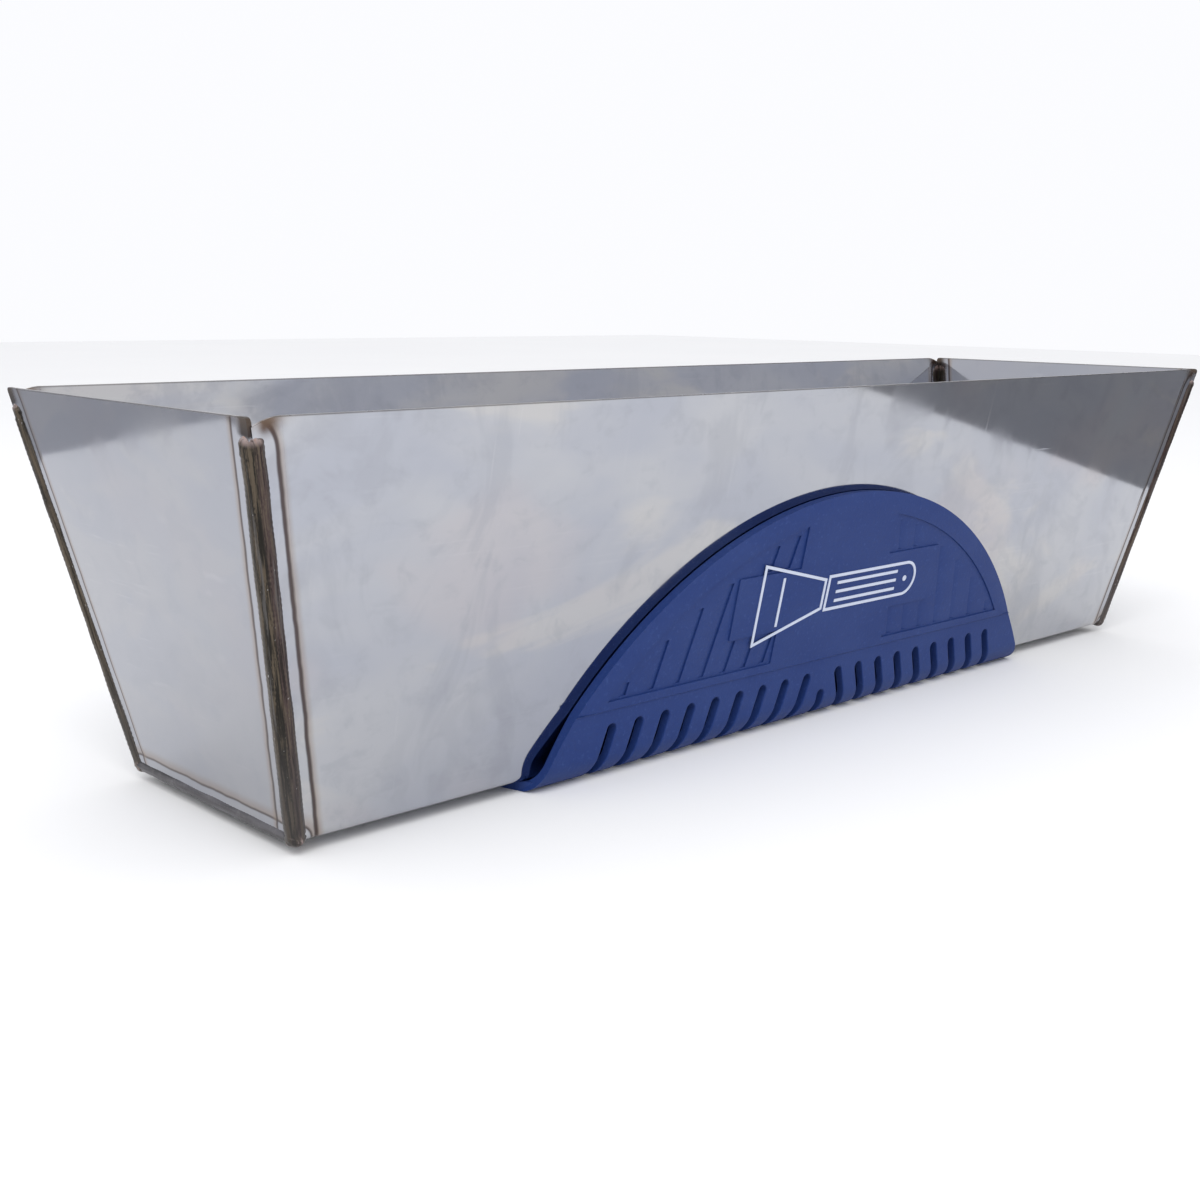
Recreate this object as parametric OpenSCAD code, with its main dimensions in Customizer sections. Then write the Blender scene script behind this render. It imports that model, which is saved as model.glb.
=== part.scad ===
// Drywall mud pan: a folded steel trough with two welded end plates, and a moulded grip
// that wraps the middle of the trough from one long wall, under the floor, to the other.
// X runs along the pan, Y across it and Z up. Z = 0 is the flat underside of the grip.

/* [Pan] */
// Length over the rim
top_length = 355; // [330:1:430]
// Width over the rim
top_width = 101.6; // [90:0.1:135]
// Length over the floor
base_length = 320; // [255:1:330]
// Width over the floor
base_width = 66.5; // [56:0.5:84]
// Height from the steel underside to the rim
pan_depth = 86.7; // [72:0.1:110]
// Thickness of the steel sheet
sheet = 0.9; // [0.6:0.05:1.4]
// Outer radius of the folds along the floor
fold_radius = 2.5; // [1.8:0.1:4]

/* [Rim] */
// How far the rim drops at each corner of the long walls
corner_dip = 1.8; // [0.4:0.1:4]
// Length of that drop along the rim
corner_dip_length = 6; // [3:0.5:12]

/* [Welds] */
// Radius of the upright weld beads
weld_radius = 2.2; // [2:0.1:2.8]
// Radius of the beads under the floor's two ends
bottom_weld_radius = 1.9; // [1.5:0.1:1.9]
// Depth of a bead's centre line below both outer faces
weld_inset = 1.4; // [1:0.1:1.8]
// Distance from the rim down to the start of an upright bead
weld_start = 6; // [4:0.5:15]

/* [Grip] */
// Half the length of the grip under the middle of the floor
grip_reach = 104.5; // [90:0.5:118]
// Half the length of the grip where it turns up the walls
grip_turn_reach = 98.5; // [84:0.5:100]
// Height of the grip's arch above the floor
arch_height = 59.5; // [40:0.5:68]
// Thickness of the grip on the walls
grip_wall = 3; // [2.6:0.1:4.5]
// Thickness of the slotted skirt, where it leaves the wall
grip_skirt = 2.6; // [1.6:0.1:2.6]
// Thickness of the grip round the folds and under the floor
grip_floor = 2.2; // [1.5:0.1:4]
// Height of the ridge where the skirt begins, up the wall from the floor
ridge_height = 15; // [13.5:0.5:20]
// Gap between the skirt and the wall at the turn
stand_off = 1.8; // [1:0.1:2]
// Inner radius of the grip's turn under the pan
turn_radius = 5; // [4.2:0.1:5.4]

/* [Slots] */
// Width of the slots
slot_width = 2.4; // [1.2:0.1:4]
// Distance from one slot to the next
slot_pitch = 8.9; // [6.5:0.1:12]
// Distance from the middle of the grip to the first slots
first_slot = 6.2; // [5:0.1:9]
// Height of the slots up the wall
slot_height = 11.6; // [8:0.1:12.5]
// Height of the short slot in the middle
middle_slot_height = 6.3; // [4:0.1:8]
// Outward lean of the slots
slot_lean = 18; // [0:1:25]
// How far the slots run in under the floor
slot_run = 12; // [6:0.5:18]
// Least distance from a slot to the edge of the arch
slot_margin = 9; // [5:0.5:16]

/* [Adhesive] */
// Thickness of the adhesive between the grip and the steel
bond = 0.3; // [0.2:0.05:0.6]
// Distance from the adhesive's edge to the edge of the grip
bond_margin = 5; // [3:0.5:10]
// Half the width of the adhesive strip under the floor
floor_bond_half_width = 20; // [10:1:21]

/* [Print] */
// Thickness of the printed ink
ink = 0.15; // [0.1:0.05:0.3]
// Height of the middle of the printed knife above the floor, along the wall
mark_height = 34.5; // [30:0.5:40]
// Length of the printed knife
mark_length = 66; // [40:1:72]
// Width of the printed lines
line_width = 0.8; // [0.6:0.1:1.4]
// Length of the knife's blade
blade_length = 26; // [18:0.5:30]
// Width of the blade at its tip
blade_width = 22; // [16:0.5:24]
// Width of the blade at the handle
neck_width = 8.5; // [6:0.5:12]
// Distance from the tip to the crease across the blade
crease_from_tip = 8; // [4:0.5:12]
// Width of the knife's handle
handle_width = 10; // [8:0.5:14]
// Distance from one line along the handle to the next
handle_line_pitch = 2.5; // [2:0.1:3.5]
// Distance from either end of those lines to the end of the handle's straight sides
handle_line_inset = 4; // [3:0.5:8]

/* [Hidden] */
$fn = 64;

LEFT = -1;
RIGHT = 1;
FRONT = -1;
BACK = 1;
cut_over = 5;                                    // how far a cutting shape runs past what it cuts

floor_z = grip_floor + bond;                     // the steel underside
rim_z = floor_z + pan_depth;
side_lean = atan((top_width - base_width) / 2 / pan_depth);
end_lean = atan((top_length - base_length) / 2 / pan_depth);
fold_center = [wall_y(floor_z + fold_radius) - fold_radius / cos(side_lean), floor_z + fold_radius];

// The arch passes through the turn points at floor level and through its own top.
arch_radius = (pow(grip_turn_reach, 2) + pow(arch_height, 2)) / (2 * arch_height);
arch_z = floor_z + arch_height - arch_radius;
turn_center_z = grip_floor + turn_radius;
turn_center = [wall_y(turn_center_z) + (stand_off - turn_radius) / cos(side_lean), turn_center_z];

slot_end_reach = sqrt(pow(arch_radius, 2) - pow(floor_z + slot_height - arch_z, 2));
slot_count = floor((slot_end_reach - slot_margin - first_slot) / slot_pitch) + 1;
slot_bottom = floor_z + cut_over;                // how far a slot cutter runs below the floor line
slot_reach_out = stand_off + grip_wall + cut_over;

// The outer face of a long wall, and of an end, at height z.
function wall_y(z) = base_width / 2 + (z - floor_z) * tan(side_lean);
function end_x(z) = base_length / 2 + (z - floor_z) * tan(end_lean);

// A point of the cross-section: up the wall from the floor line, and outwards from its face.
function wall_point(up, out) = [
    base_width / 2 + up * sin(side_lean) + out * cos(side_lean),
    floor_z + up * cos(side_lean) - out * sin(side_lean)
];

// The outer point where a line from p touches the circle.
function touch(p, center, r) =
    let (d = p - center, turn = atan2(d.y, d.x) - acos(r / norm(d)))
    center + r * [cos(turn), sin(turn)];

function flip(points) = [for (i = [len(points) - 1 : -1 : 0]) [-points[i].x, points[i].y]];

// ---- placing ----

// Extrudes a cross-section, drawn as [y, z], along X.
module along_x(length) {
    rotate([90, 0, 90]) linear_extrude(length, center = true) children();
}

// Extrudes a side view, drawn as [x, z], along Y.
module along_y(width) {
    rotate([90, 0, 0]) linear_extrude(width, center = true) children();
}

// Puts a child on a long wall: its X along the pan, its Y outwards, its Z up the wall.
module on_wall(side) {
    mirror([0, side < 0 ? 1 : 0, 0])
    translate([0, base_width / 2, floor_z])
    rotate([-side_lean, 0, 0])
    children();
}

// Mirrors a part that is drawn at the right-hand end.
module at_end(end) {
    mirror([end < 0 ? 1 : 0, 0, 0]) children();
}

// ---- the pan's shape ----

// The trough's cross-section, a distance inside its outer faces.
module trough_section(inset, top) {
    r = fold_radius - inset;
    wall_touch = fold_center + r * [cos(side_lean), -sin(side_lean)];
    half = [
        [fold_center.x, floor_z + inset],
        wall_touch,
        [wall_y(top) - inset / cos(side_lean), top]
    ];
    polygon(concat(half, flip(half)));
    for (side = [-1, 1]) translate([side * fold_center.x, fold_center.y]) circle(r);
}

// The space between the sloping ends, a distance inside their outer faces.
module end_section(inset) {
    low = floor_z - cut_over;
    high = rim_z + cut_over;
    polygon([
        for (corner = [[-1, low], [1, low], [1, high], [-1, high]])
            [corner[0] * (end_x(corner[1]) - inset / cos(end_lean)), corner[1]]
    ]);
}

module cavity() {
    intersection() {
        along_x(top_length) trough_section(sheet, rim_z + cut_over);
        along_y(top_width) end_section(sheet);
    }
}

// ---- welds ----

// The centre of a weld bead where an end meets a long wall, at height z.
function seam(end, side, z) = [
    end * (end_x(z) - weld_inset / cos(end_lean)),
    side * (wall_y(z) - weld_inset / cos(side_lean)),
    z
];

// A round-ended rod up the corner, its lower end round the pan's bottom corner.
module corner_rod(end, side) {
    low = seam(end, side, floor_z + weld_inset);
    d = seam(end, side, rim_z - weld_start) - low;
    length = norm(d);
    translate(low)
    rotate([0, acos(d.z / length), atan2(d.y, d.x)])
    rotate_extrude()
    intersection() {
        union() {
            circle(weld_radius);
            square([weld_radius, length]);
            translate([0, length]) circle(weld_radius);
        }
        translate([0, -weld_radius]) square([weld_radius, length + 2 * weld_radius]);
    }
}

// A plain rod along the end of the floor, from one corner rod to the other.
module bottom_rod(end) {
    low = seam(end, BACK, floor_z + weld_inset);
    translate([low.x, 0, low.z])
    rotate([90, 0, 0])
    cylinder(h = 2 * low.y, r = bottom_weld_radius, center = true);
}

module weld_rods(end) {
    bottom_rod(end);
    for (side = [FRONT, BACK]) corner_rod(end, side);
}

module corner_weld(end, side) {
    color([0.30, 0.27, 0.24])
    difference() {
        corner_rod(end, side);
        cavity();
    }
}

module bottom_weld(end) {
    color([0.36, 0.34, 0.33])
    difference() {
        bottom_rod(end);
        cavity();
        for (side = [FRONT, BACK]) corner_rod(end, side);
    }
}

module left_front_weld() { corner_weld(LEFT, FRONT); }
module left_back_weld() { corner_weld(LEFT, BACK); }
module left_bottom_weld() { bottom_weld(LEFT); }
module right_front_weld() { corner_weld(RIGHT, FRONT); }
module right_back_weld() { corner_weld(RIGHT, BACK); }
module right_bottom_weld() { bottom_weld(RIGHT); }

// ---- steel ----

// What the dipped corners take off the rim of the long walls, at the right-hand end.
module corner_dips() {
    inner_end = end_x(rim_z) - sheet / cos(end_lean);
    along_y(top_width + cut_over)
    polygon([
        [inner_end - corner_dip_length, rim_z],
        [inner_end, rim_z - corner_dip],
        [inner_end + cut_over, rim_z - corner_dip],
        [inner_end + cut_over, rim_z + cut_over],
        [inner_end - corner_dip_length, rim_z + cut_over]
    ]);
}

module pan_body() {
    color([0.70, 0.71, 0.74])
    difference() {
        intersection() {
            along_x(top_length) difference() {
                trough_section(0, rim_z);
                trough_section(sheet, rim_z + cut_over);
            }
            along_y(top_width) end_section(sheet);
        }
        for (end = [LEFT, RIGHT]) {
            weld_rods(end);
            at_end(end) corner_dips();
        }
    }
}

module end_plate(end) {
    color([0.66, 0.67, 0.70])
    difference() {
        intersection() {
            along_x(top_length) trough_section(0, rim_z);
            at_end(end) translate([0, -top_width, 0]) cube([top_length, 2 * top_width, 2 * rim_z]);
            along_y(top_width) difference() {
                end_section(0);
                end_section(sheet);
            }
        }
        weld_rods(end);
    }
}

module left_end_plate() { end_plate(LEFT); }
module right_end_plate() { end_plate(RIGHT); }

// ---- grip ----

// The cross-section inside one face of the grip. ridge lists that face's distances
// from the wall just above and just below the ridge line.
module wrap_section(ridge, r, bottom) {
    skirt_top = wall_point(ridge_height, ridge[1]);
    half = [
        [turn_center.x, bottom],
        touch(skirt_top, turn_center, r),
        skirt_top,
        wall_point(ridge_height, ridge[0]),
        wall_point(pan_depth, ridge[0])
    ];
    polygon(concat(half, flip(half)));
    for (side = [-1, 1]) translate([side * turn_center.x, turn_center.y]) circle(r);
}

// The arch on both walls, and the rounder outline under the floor.
module grip_outline(margin) {
    translate([0, 0, arch_z])
    rotate([90, 0, 0])
    cylinder(h = 2 * top_width, r = arch_radius - margin, center = true, $fn = 128);
    translate([0, 0, -cut_over])
    cylinder(h = floor_z + cut_over, r = grip_reach - margin, $fn = 128);
}

// One slot: it starts round on the wall and runs down, outwards and in under the floor.
module slot_cutter(x, height, lean) {
    depth = slot_run + slot_reach_out;
    translate([x, -slot_run, height - slot_width / 2]) {
        rotate([-90, 0, 0]) cylinder(h = depth, d = slot_width, $fn = 32);
        rotate([0, -lean, 0])
        translate([-slot_width / 2, 0, -height - slot_bottom])
        cube([slot_width, depth, height + slot_bottom]);
    }
}

module slots() {
    slot_cutter(0, middle_slot_height, 0);
    for (way = [-1, 1], i = [0 : slot_count - 1])
        slot_cutter(way * (first_slot + i * slot_pitch), slot_height, way * slot_lean);
}

module grip() {
    color([0.20, 0.28, 0.52])
    difference() {
        intersection() {
            along_x(3 * grip_reach) difference() {
                wrap_section([bond + grip_wall, bond + grip_skirt], turn_radius + grip_floor, 0);
                wrap_section([bond, bond], turn_radius, grip_floor);
            }
            grip_outline(0);
        }
        for (side = [FRONT, BACK]) on_wall(side) slots();
    }
}

module wall_pad(side) {
    color([0.85, 0.85, 0.80])
    intersection() {
        on_wall(side)
        translate([-grip_reach, 0, ridge_height])
        cube([2 * grip_reach, bond, arch_height]);
        grip_outline(bond_margin);
    }
}

module front_adhesive_pad() { wall_pad(FRONT); }
module back_adhesive_pad() { wall_pad(BACK); }

module bottom_adhesive_pad() {
    color([0.85, 0.85, 0.80])
    intersection() {
        translate([-grip_reach, -floor_bond_half_width, grip_floor])
        cube([2 * grip_reach, 2 * floor_bond_half_width, bond]);
        grip_outline(bond_margin);
    }
}

// ---- print ----

// The outline of a shape between two of its own sizes.
module ring(points, inner) {
    difference() {
        polygon(points);
        polygon(inner);
    }
}

// A plain taping knife drawn in lines, lying along the pan with its blade to the left.
module knife_drawing() {
    blade_half = blade_width / 2;
    neck_half = neck_width / 2;
    handle_half = handle_width / 2;
    tip = -mark_length / 2;
    neck = tip + blade_length;
    butt = mark_length / 2 - handle_half;
    slope = (blade_half - neck_half) / blade_length;
    near_half = blade_half - line_width * (1 + slope);
    far_half = neck_half - line_width * (1 - slope);
    ring(
        [[tip, -blade_half], [neck, -neck_half], [neck, neck_half], [tip, blade_half]],
        [
            [tip + line_width, -near_half], [neck - line_width, -far_half],
            [neck - line_width, far_half], [tip + line_width, near_half]
        ]
    );
    // The stiffening crease across the blade, a line's width clear of its sides
    crease_half = blade_half - crease_from_tip * slope - 3 * line_width;
    translate([tip + crease_from_tip, -crease_half])
    square([line_width, 2 * crease_half]);
    // The handle, with a round butt and a hanging hole
    handle_start = neck + line_width;
    difference() {
        union() {
            translate([handle_start, -handle_half]) square([butt - handle_start, handle_width]);
            translate([butt, 0]) circle(handle_half);
        }
        translate([handle_start + line_width, line_width - handle_half])
        square([butt - handle_start - line_width, handle_width - 2 * line_width]);
        translate([butt, 0]) circle(handle_half - line_width);
    }
    translate([butt, 0]) circle(line_width);
    // Lines along the handle
    for (level = [-1, 0, 1])
        translate([handle_start + handle_line_inset, level * handle_line_pitch - line_width / 2])
        square([butt - handle_start - 2 * handle_line_inset, line_width]);
}

module printed_mark() {
    color([0.93, 0.94, 0.95])
    on_wall(FRONT)
    translate([0, bond + grip_wall + ink, mark_height])
    rotate([90, 0, 0])
    linear_extrude(ink)
    knife_drawing();
}

pan_body();
left_end_plate();
right_end_plate();
left_front_weld();
left_bottom_weld();
left_back_weld();
right_front_weld();
right_bottom_weld();
right_back_weld();
grip();
front_adhesive_pad();
bottom_adhesive_pad();
back_adhesive_pad();
printed_mark();
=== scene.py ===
"""Finishes and stages a drywall mud pan: welded steel trough with a moulded wrap-round grip.

Everything is in metres. X runs along the pan, Y across it, Z up; the pan stands on Z = 0.
"""

import math

import bmesh
import bpy
from mathutils import Matrix, Vector, noise


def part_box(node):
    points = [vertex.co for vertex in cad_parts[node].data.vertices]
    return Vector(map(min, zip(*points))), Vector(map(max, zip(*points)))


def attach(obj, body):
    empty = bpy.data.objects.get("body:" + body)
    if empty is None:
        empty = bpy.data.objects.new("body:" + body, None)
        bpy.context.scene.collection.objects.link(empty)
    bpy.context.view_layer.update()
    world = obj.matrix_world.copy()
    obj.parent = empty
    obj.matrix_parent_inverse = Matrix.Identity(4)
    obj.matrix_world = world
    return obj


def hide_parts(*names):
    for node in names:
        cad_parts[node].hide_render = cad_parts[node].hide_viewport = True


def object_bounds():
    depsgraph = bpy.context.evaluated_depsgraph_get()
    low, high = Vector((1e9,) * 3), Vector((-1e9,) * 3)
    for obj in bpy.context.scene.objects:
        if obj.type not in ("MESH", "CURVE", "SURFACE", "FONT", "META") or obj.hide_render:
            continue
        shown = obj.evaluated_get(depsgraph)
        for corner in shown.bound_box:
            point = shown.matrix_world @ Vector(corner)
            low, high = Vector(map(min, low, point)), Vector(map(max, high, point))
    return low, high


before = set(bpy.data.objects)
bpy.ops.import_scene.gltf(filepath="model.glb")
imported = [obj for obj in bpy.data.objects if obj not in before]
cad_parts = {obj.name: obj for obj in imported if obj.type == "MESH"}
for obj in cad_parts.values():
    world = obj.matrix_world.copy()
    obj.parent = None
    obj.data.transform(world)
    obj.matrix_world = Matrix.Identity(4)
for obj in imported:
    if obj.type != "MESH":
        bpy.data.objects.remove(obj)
CAD_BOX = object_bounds()

bl_info = {
    "name": "Mud Pan Finisher",
    "version": (1, 0, 0),
    "blender": (4, 5, 0),
    "location": "3D View > Sidebar > Mud Pan",
    "description": "Models the sheet steel, welds and moulded grip of a drywall mud pan",
    "category": "Object",
}

LEFT, RIGHT = -1, 1
FRONT, BACK = -1, 1
BODY = "root"
FRAME_FLOOR_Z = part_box("pan_body")[0].z
FRAME_RIM_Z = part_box("pan_body")[1].z
FRAME_RIM_LENGTH = CAD_BOX[1].x - CAD_BOX[0].x
FRAME_RIM_WIDTH = CAD_BOX[1].y - CAD_BOX[0].y
FRAME_GRIP_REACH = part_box("grip")[1].x
MM = 0.001
ON_LINE = 0.01 * MM  # how near a point made on a line or plane is to it
NEAR = 0.05 * MM  # the same, for points that a cut or a rounding has moved a little
ON_FLANK = 0.03 * MM  # the same, for points on a sunk line beside a weld
SHEARED = math.radians(40)  # least angle of a sheet's sheared edge
MOULDED = math.radians(50)  # least angle of a moulded edge that is rounded
OVERCUT = 4 * MM  # how far a wall cutter stands out past the grip's face
PANEL_RING = 0.45 * MM  # flat ring between the border and the panels
GROOVE_CLEAR = 0.8 * MM  # least distance from a groove to the border and to the field's end
GROOVE_LIFT = 0.6 * MM  # how far above a panel's lower edge a groove starts
GROOVE_GAP = 0.5 * MM  # distance from a groove's top to the field's arm
RIDGE_STEP = 0.5 * MM  # height that the ridge takes from skirt to wall
ARCH_STEPS = 256
BORDER_CUTS = 6
GROOVES = 7
HIGH_GROOVES = 2
KEY_PLACE = (-0.7, -0.6, 1.1)
KEY_SIZE = (1.2, 0.9)
# Each card: its name, both ends of its foot on the floor, its height, and its low and high tones.
CARDS = (
    ("right_card", (0.16, -0.308), (0.41, 0.022), 0.34, (0.27, 0.56)),
    ("left_card", (-0.39, 0.119), (-0.19, 0.437), 0.16, (0.52, 0.66)),
    ("near_card", (-0.62, -0.20), (-0.20, -0.62), 0.60, (0.50, 0.70)),
)


# ---------------------------------------------------------------- settings


def length(title, note, default):
    """A length property, in metres."""
    return bpy.props.FloatProperty(
        name=title, description=note, default=default, unit="LENGTH", precision=5
    )


def angle(title, note, degrees):
    """An angle property, kept in radians and shown in degrees."""
    return bpy.props.FloatProperty(
        name=title, description=note, default=math.radians(degrees), subtype="ANGLE"
    )


def amount(title, note, default):
    """A plain number."""
    return bpy.props.FloatProperty(name=title, description=note, default=default)


def colour(title, note, default):
    """A linear colour."""
    return bpy.props.FloatVectorProperty(
        name=title, description=note, default=default, subtype="COLOR", size=3, min=0.0, max=1.0
    )


class MUDPAN_PG_pan(bpy.types.PropertyGroup):
    """Sizes of the folded trough and its two end plates."""

    rim_length: length("Rim length", "Length over the rim", FRAME_RIM_LENGTH)
    rim_width: length("Rim width", "Width over the rim", FRAME_RIM_WIDTH)
    floor_length: length("Floor length", "Length over the floor", 0.320)
    floor_width: length("Floor width", "Width over the floor", 0.0665)
    floor_z: length("Floor height", "Height of the steel underside", FRAME_FLOOR_Z)
    rim_z: length("Rim height", "Height of the rim", FRAME_RIM_Z)
    sheet: length("Sheet", "Thickness of the steel", 0.0009)
    fold_radius: length("Fold radius", "Outer radius of the folds along the floor", 0.0025)
    dip_depth: length("Corner dip", "Drop of the long rims at each corner", 0.0018)
    dip_length: length("Dip length", "Length of that drop", 0.006)
    edge_round: length("Edge round", "Rounding of the sheared edges", 0.00014)
    flank_start: length("Flank start", "Distance from the seam where the sheet starts to sink", 0.0034)
    flank_middle: length("Flank middle", "Distance from the seam to the deepest line", 0.0047)
    flank_end: length("Flank end", "Distance from the seam where the sheet is flat again", 0.0070)
    flank_depth: length("Flank depth", "How far the sheet sinks beside a weld", 0.00018)
    burnt_corner: length("Burnt corner", "How far a plate's top corners have burnt back", 0.0011)


class MUDPAN_PG_weld(bpy.types.PropertyGroup):
    """Sizes of the weld beads."""

    radius: length("Radius", "Radius of the upright beads", 0.0022)
    floor_radius: length("Floor radius", "Radius of the beads at the floor's ends", 0.0019)
    inset: length("Inset", "Depth of a bead's centre below both faces", 0.0014)
    start: length("Start", "Distance from the rim to the top of a bead", 0.0048)
    ring_step: length("Ring step", "Distance between the rings that a bead is drawn with", 0.0006)
    ripple_pitch: length("Ripple pitch", "Distance from one ripple to the next", 0.0013)
    ripple_height: length("Ripple height", "Height of the ripples", 0.00004)
    wander: length("Wander", "How far the bead's size wanders", 0.00012)
    crater: length("Crater", "Height of the lumps where a bead starts and stops", 0.00042)
    plate_clean: length("Plate strip", "Clean strip beside a bead on a plate", 0.0020)
    wall_clean: length("Wall strip", "Clean strip beside a bead on a wall", 0.0019)
    floor_clean: length("Floor strip", "Clean strip beside a floor bead", 0.0014)
    plate_line: length("Plate line", "Width of the dark line on a plate", 0.00065)
    wall_line: length("Wall line", "Width of the dark line on a wall", 0.0009)
    floor_line: length("Floor line", "Width of the dark line along the floor", 0.0005)
    upright_straw: length("Upright straw", "Width of the straw beside an upright bead", 0.0016)
    floor_straw: length("Floor straw", "Width of the straw along the floor", 0.0030)
    wall_closing: length("Wall closing", "How far below a bead's top the line turns in", 0.0022)


class MUDPAN_PG_grip(bpy.types.PropertyGroup):
    """Sizes of the moulded grip."""

    reach: length("Reach", "Half the length under the middle of the floor", FRAME_GRIP_REACH)
    turn_reach: length("Turn reach", "Half the length where the grip turns up", 0.0985)
    arch_height: length("Arch height", "Height of the arch above the floor", 0.0595)
    wall: length("Wall", "Thickness on the walls", 0.003)
    skirt: length("Skirt", "Thickness where the slotted skirt begins", 0.0026)
    floor: length("Floor", "Thickness round the turns and under the floor", 0.0022)
    bond: length("Bond", "Gap that the adhesive fills", 0.0003)
    ridge_height: length("Ridge", "Height of the ridge up the wall", 0.015)
    stand_off: length("Stand-off", "Gap between the skirt and the wall at the turn", 0.0018)
    turn_radius: length("Turn radius", "Inner radius of the turn", 0.005)
    border: length("Border", "Width of the softly rounded border", 0.0052)
    border_drop: length("Border drop", "How far the border falls towards its edge", 0.0004)
    edge_round: length("Edge round", "Rounding of the outer edge", 0.0006)
    slot_round: length("Slot round", "Rounding of the slots' edges", 0.00028)
    slot_width: length("Slot width", "Width of the slots", 0.0030)
    slot_pitch: length("Slot pitch", "Distance from one slot to the next", 0.0089)
    first_slot: length("First slot", "Distance from the middle to the first slots", 0.0062)
    slot_height: length("Slot height", "Height of the slots up the wall", 0.0116)
    middle_slot: length("Middle slot", "Height of the short slot in the middle", 0.0063)
    slot_lean: angle("Slot lean", "Outward lean of the slots", 18)
    slot_run: length("Slot run", "How far the slots run in under the floor", 0.012)
    slot_margin: length("Slot margin", "Least distance from a slot to the arch", 0.009)
    panel_depth: length("Panel depth", "Depth of the grooved panels", 0.00042)
    panel_floor: length("Panel floor", "Height of the panels' lower edge up the wall", 0.0176)
    groove_depth: length("Groove depth", "Depth of the leaning grooves", 0.00045)
    groove_width: length("Groove width", "Width of the leaning grooves", 0.0026)
    groove_lean: angle("Groove lean", "Outward lean of the grooves", 12.5)
    first_groove: length("First groove", "Distance from the middle to the first low groove", 0.0273)
    groove_pitch: length("Groove pitch", "Distance from the first groove to the second", 0.007)
    groove_growth: length("Groove growth", "How much the pitch grows at each groove", 0.00045)
    high_groove: length("High groove", "Distance from the middle to the first high groove", 0.0240)
    bar_half: length("Bar half-length", "Half the length of the smooth field", 0.0415)
    bar_low: length("Bar low", "Lower edge of the field's arms, up the wall", 0.0267)
    bar_high: length("Bar high", "Upper edge of the field's arms, up the wall", 0.0427)
    stem_low: length("Lower stem", "Half the width of the field below its arms", 0.0235)
    stem_high: length("Upper stem", "Half the width of the field above its arms", 0.0185)


class MUDPAN_PG_looks(bpy.types.PropertyGroup):
    """Colours of the finishes."""

    steel: colour("Steel", "Mill-finish stainless steel", (0.470, 0.478, 0.505))
    steel_cool: colour("Cool patches", "Bluish patches of the steel", (0.415, 0.430, 0.480))
    steel_warm: colour("Warm patches", "Cream patches of the steel", (0.535, 0.525, 0.515))
    # Also the colour of the painted shade that darkens the whole of each end plate.
    steel_smear: colour("Smears", "Darker smears left by handling", (0.345, 0.355, 0.395))
    steel_blush: colour("Blush", "Pinkish patches of the steel", (0.50, 0.455, 0.465))
    scuff: colour("Scuffs", "Fine scratches", (0.60, 0.60, 0.61))
    scorch: colour("Scorch", "Oxide in the pocket above a weld", (0.030, 0.020, 0.016))
    scorch_edge: colour("Scorch edge", "Oxide on the wall above a weld", (0.085, 0.052, 0.040))
    sheared: colour("Sheared edge", "Dull sheared edge of the rim", (0.150, 0.138, 0.130))
    straw: colour("Straw", "Light heat tint", (0.30, 0.225, 0.165))
    tint: colour("Dark tint", "Dark heat tint beside the welds", (0.060, 0.042, 0.040))
    bead: colour("Bead", "Middle of the weld metal", (0.026, 0.023, 0.019))
    bead_plate: colour("Bead by the plate", "Weld metal on the plate's side", (0.070, 0.058, 0.045))
    bead_wall: colour("Bead by the wall", "Weld metal on the wall's side", (0.072, 0.050, 0.048))
    bead_floor: colour("Floor bead", "Weld metal at the floor's ends", (0.150, 0.145, 0.155))
    crater: colour("Crater", "Start and stop of a weld", (0.42, 0.33, 0.31))
    bead_streak: colour("Bead streaks", "Tan streaks along a bead", (0.125, 0.098, 0.070))
    bead_dark: colour("Dark streaks", "Black streaks along a bead", (0.016, 0.014, 0.012))
    bead_pale: colour("Pale streaks", "Grey streaks along a bead", (0.165, 0.155, 0.150))
    bead_low: colour("Low bead", "Greyer lower end of a bead", (0.085, 0.080, 0.080))
    # Painted highlights: bright specks laid on the beads as glints.
    bead_glint: colour("Glints", "Bright specks on a bead", (0.45, 0.43, 0.42))
    floor_bead_dark: colour("Floor bead streaks", "Dark streaks along a floor bead", (0.075, 0.072, 0.075))
    floor_bead_pale: colour("Floor bead mottle", "Pale mottle on a floor bead", (0.22, 0.21, 0.215))
    crater_fleck: colour("Crater fleck", "Rusty flecks in a crater", (0.45, 0.22, 0.12))
    grip: colour("Grip", "Moulded elastomer", (0.0135, 0.036, 0.158))
    grip_light: colour("Grip bloom", "Paler bloom on the elastomer", (0.022, 0.048, 0.178))
    grip_speckle: colour("Grip speckle", "Paler grain of the elastomer", (0.042, 0.078, 0.240))
    grip_pit: colour("Grip pits", "Darker grain of the elastomer", (0.014, 0.030, 0.115))
    ink: colour("Ink", "Printed ink", (0.55, 0.60, 0.72))
    ink_thin: colour("Thin ink", "Ink that the grip shows through", (0.45, 0.50, 0.66))
    adhesive: colour("Adhesive", "Adhesive layer", (0.70, 0.70, 0.64))
    adhesive_thin: colour("Thin adhesive", "Thinner places of the adhesive", (0.55, 0.55, 0.50))
    floor: colour("Floor", "Pale floor", (0.90, 0.90, 0.905))
    studio: colour("Studio", "Soft light from all round", (0.97, 0.975, 1.0))
    floor_light: colour("Light floor", "Paler patches of the floor", (0.93, 0.93, 0.93))


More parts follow.
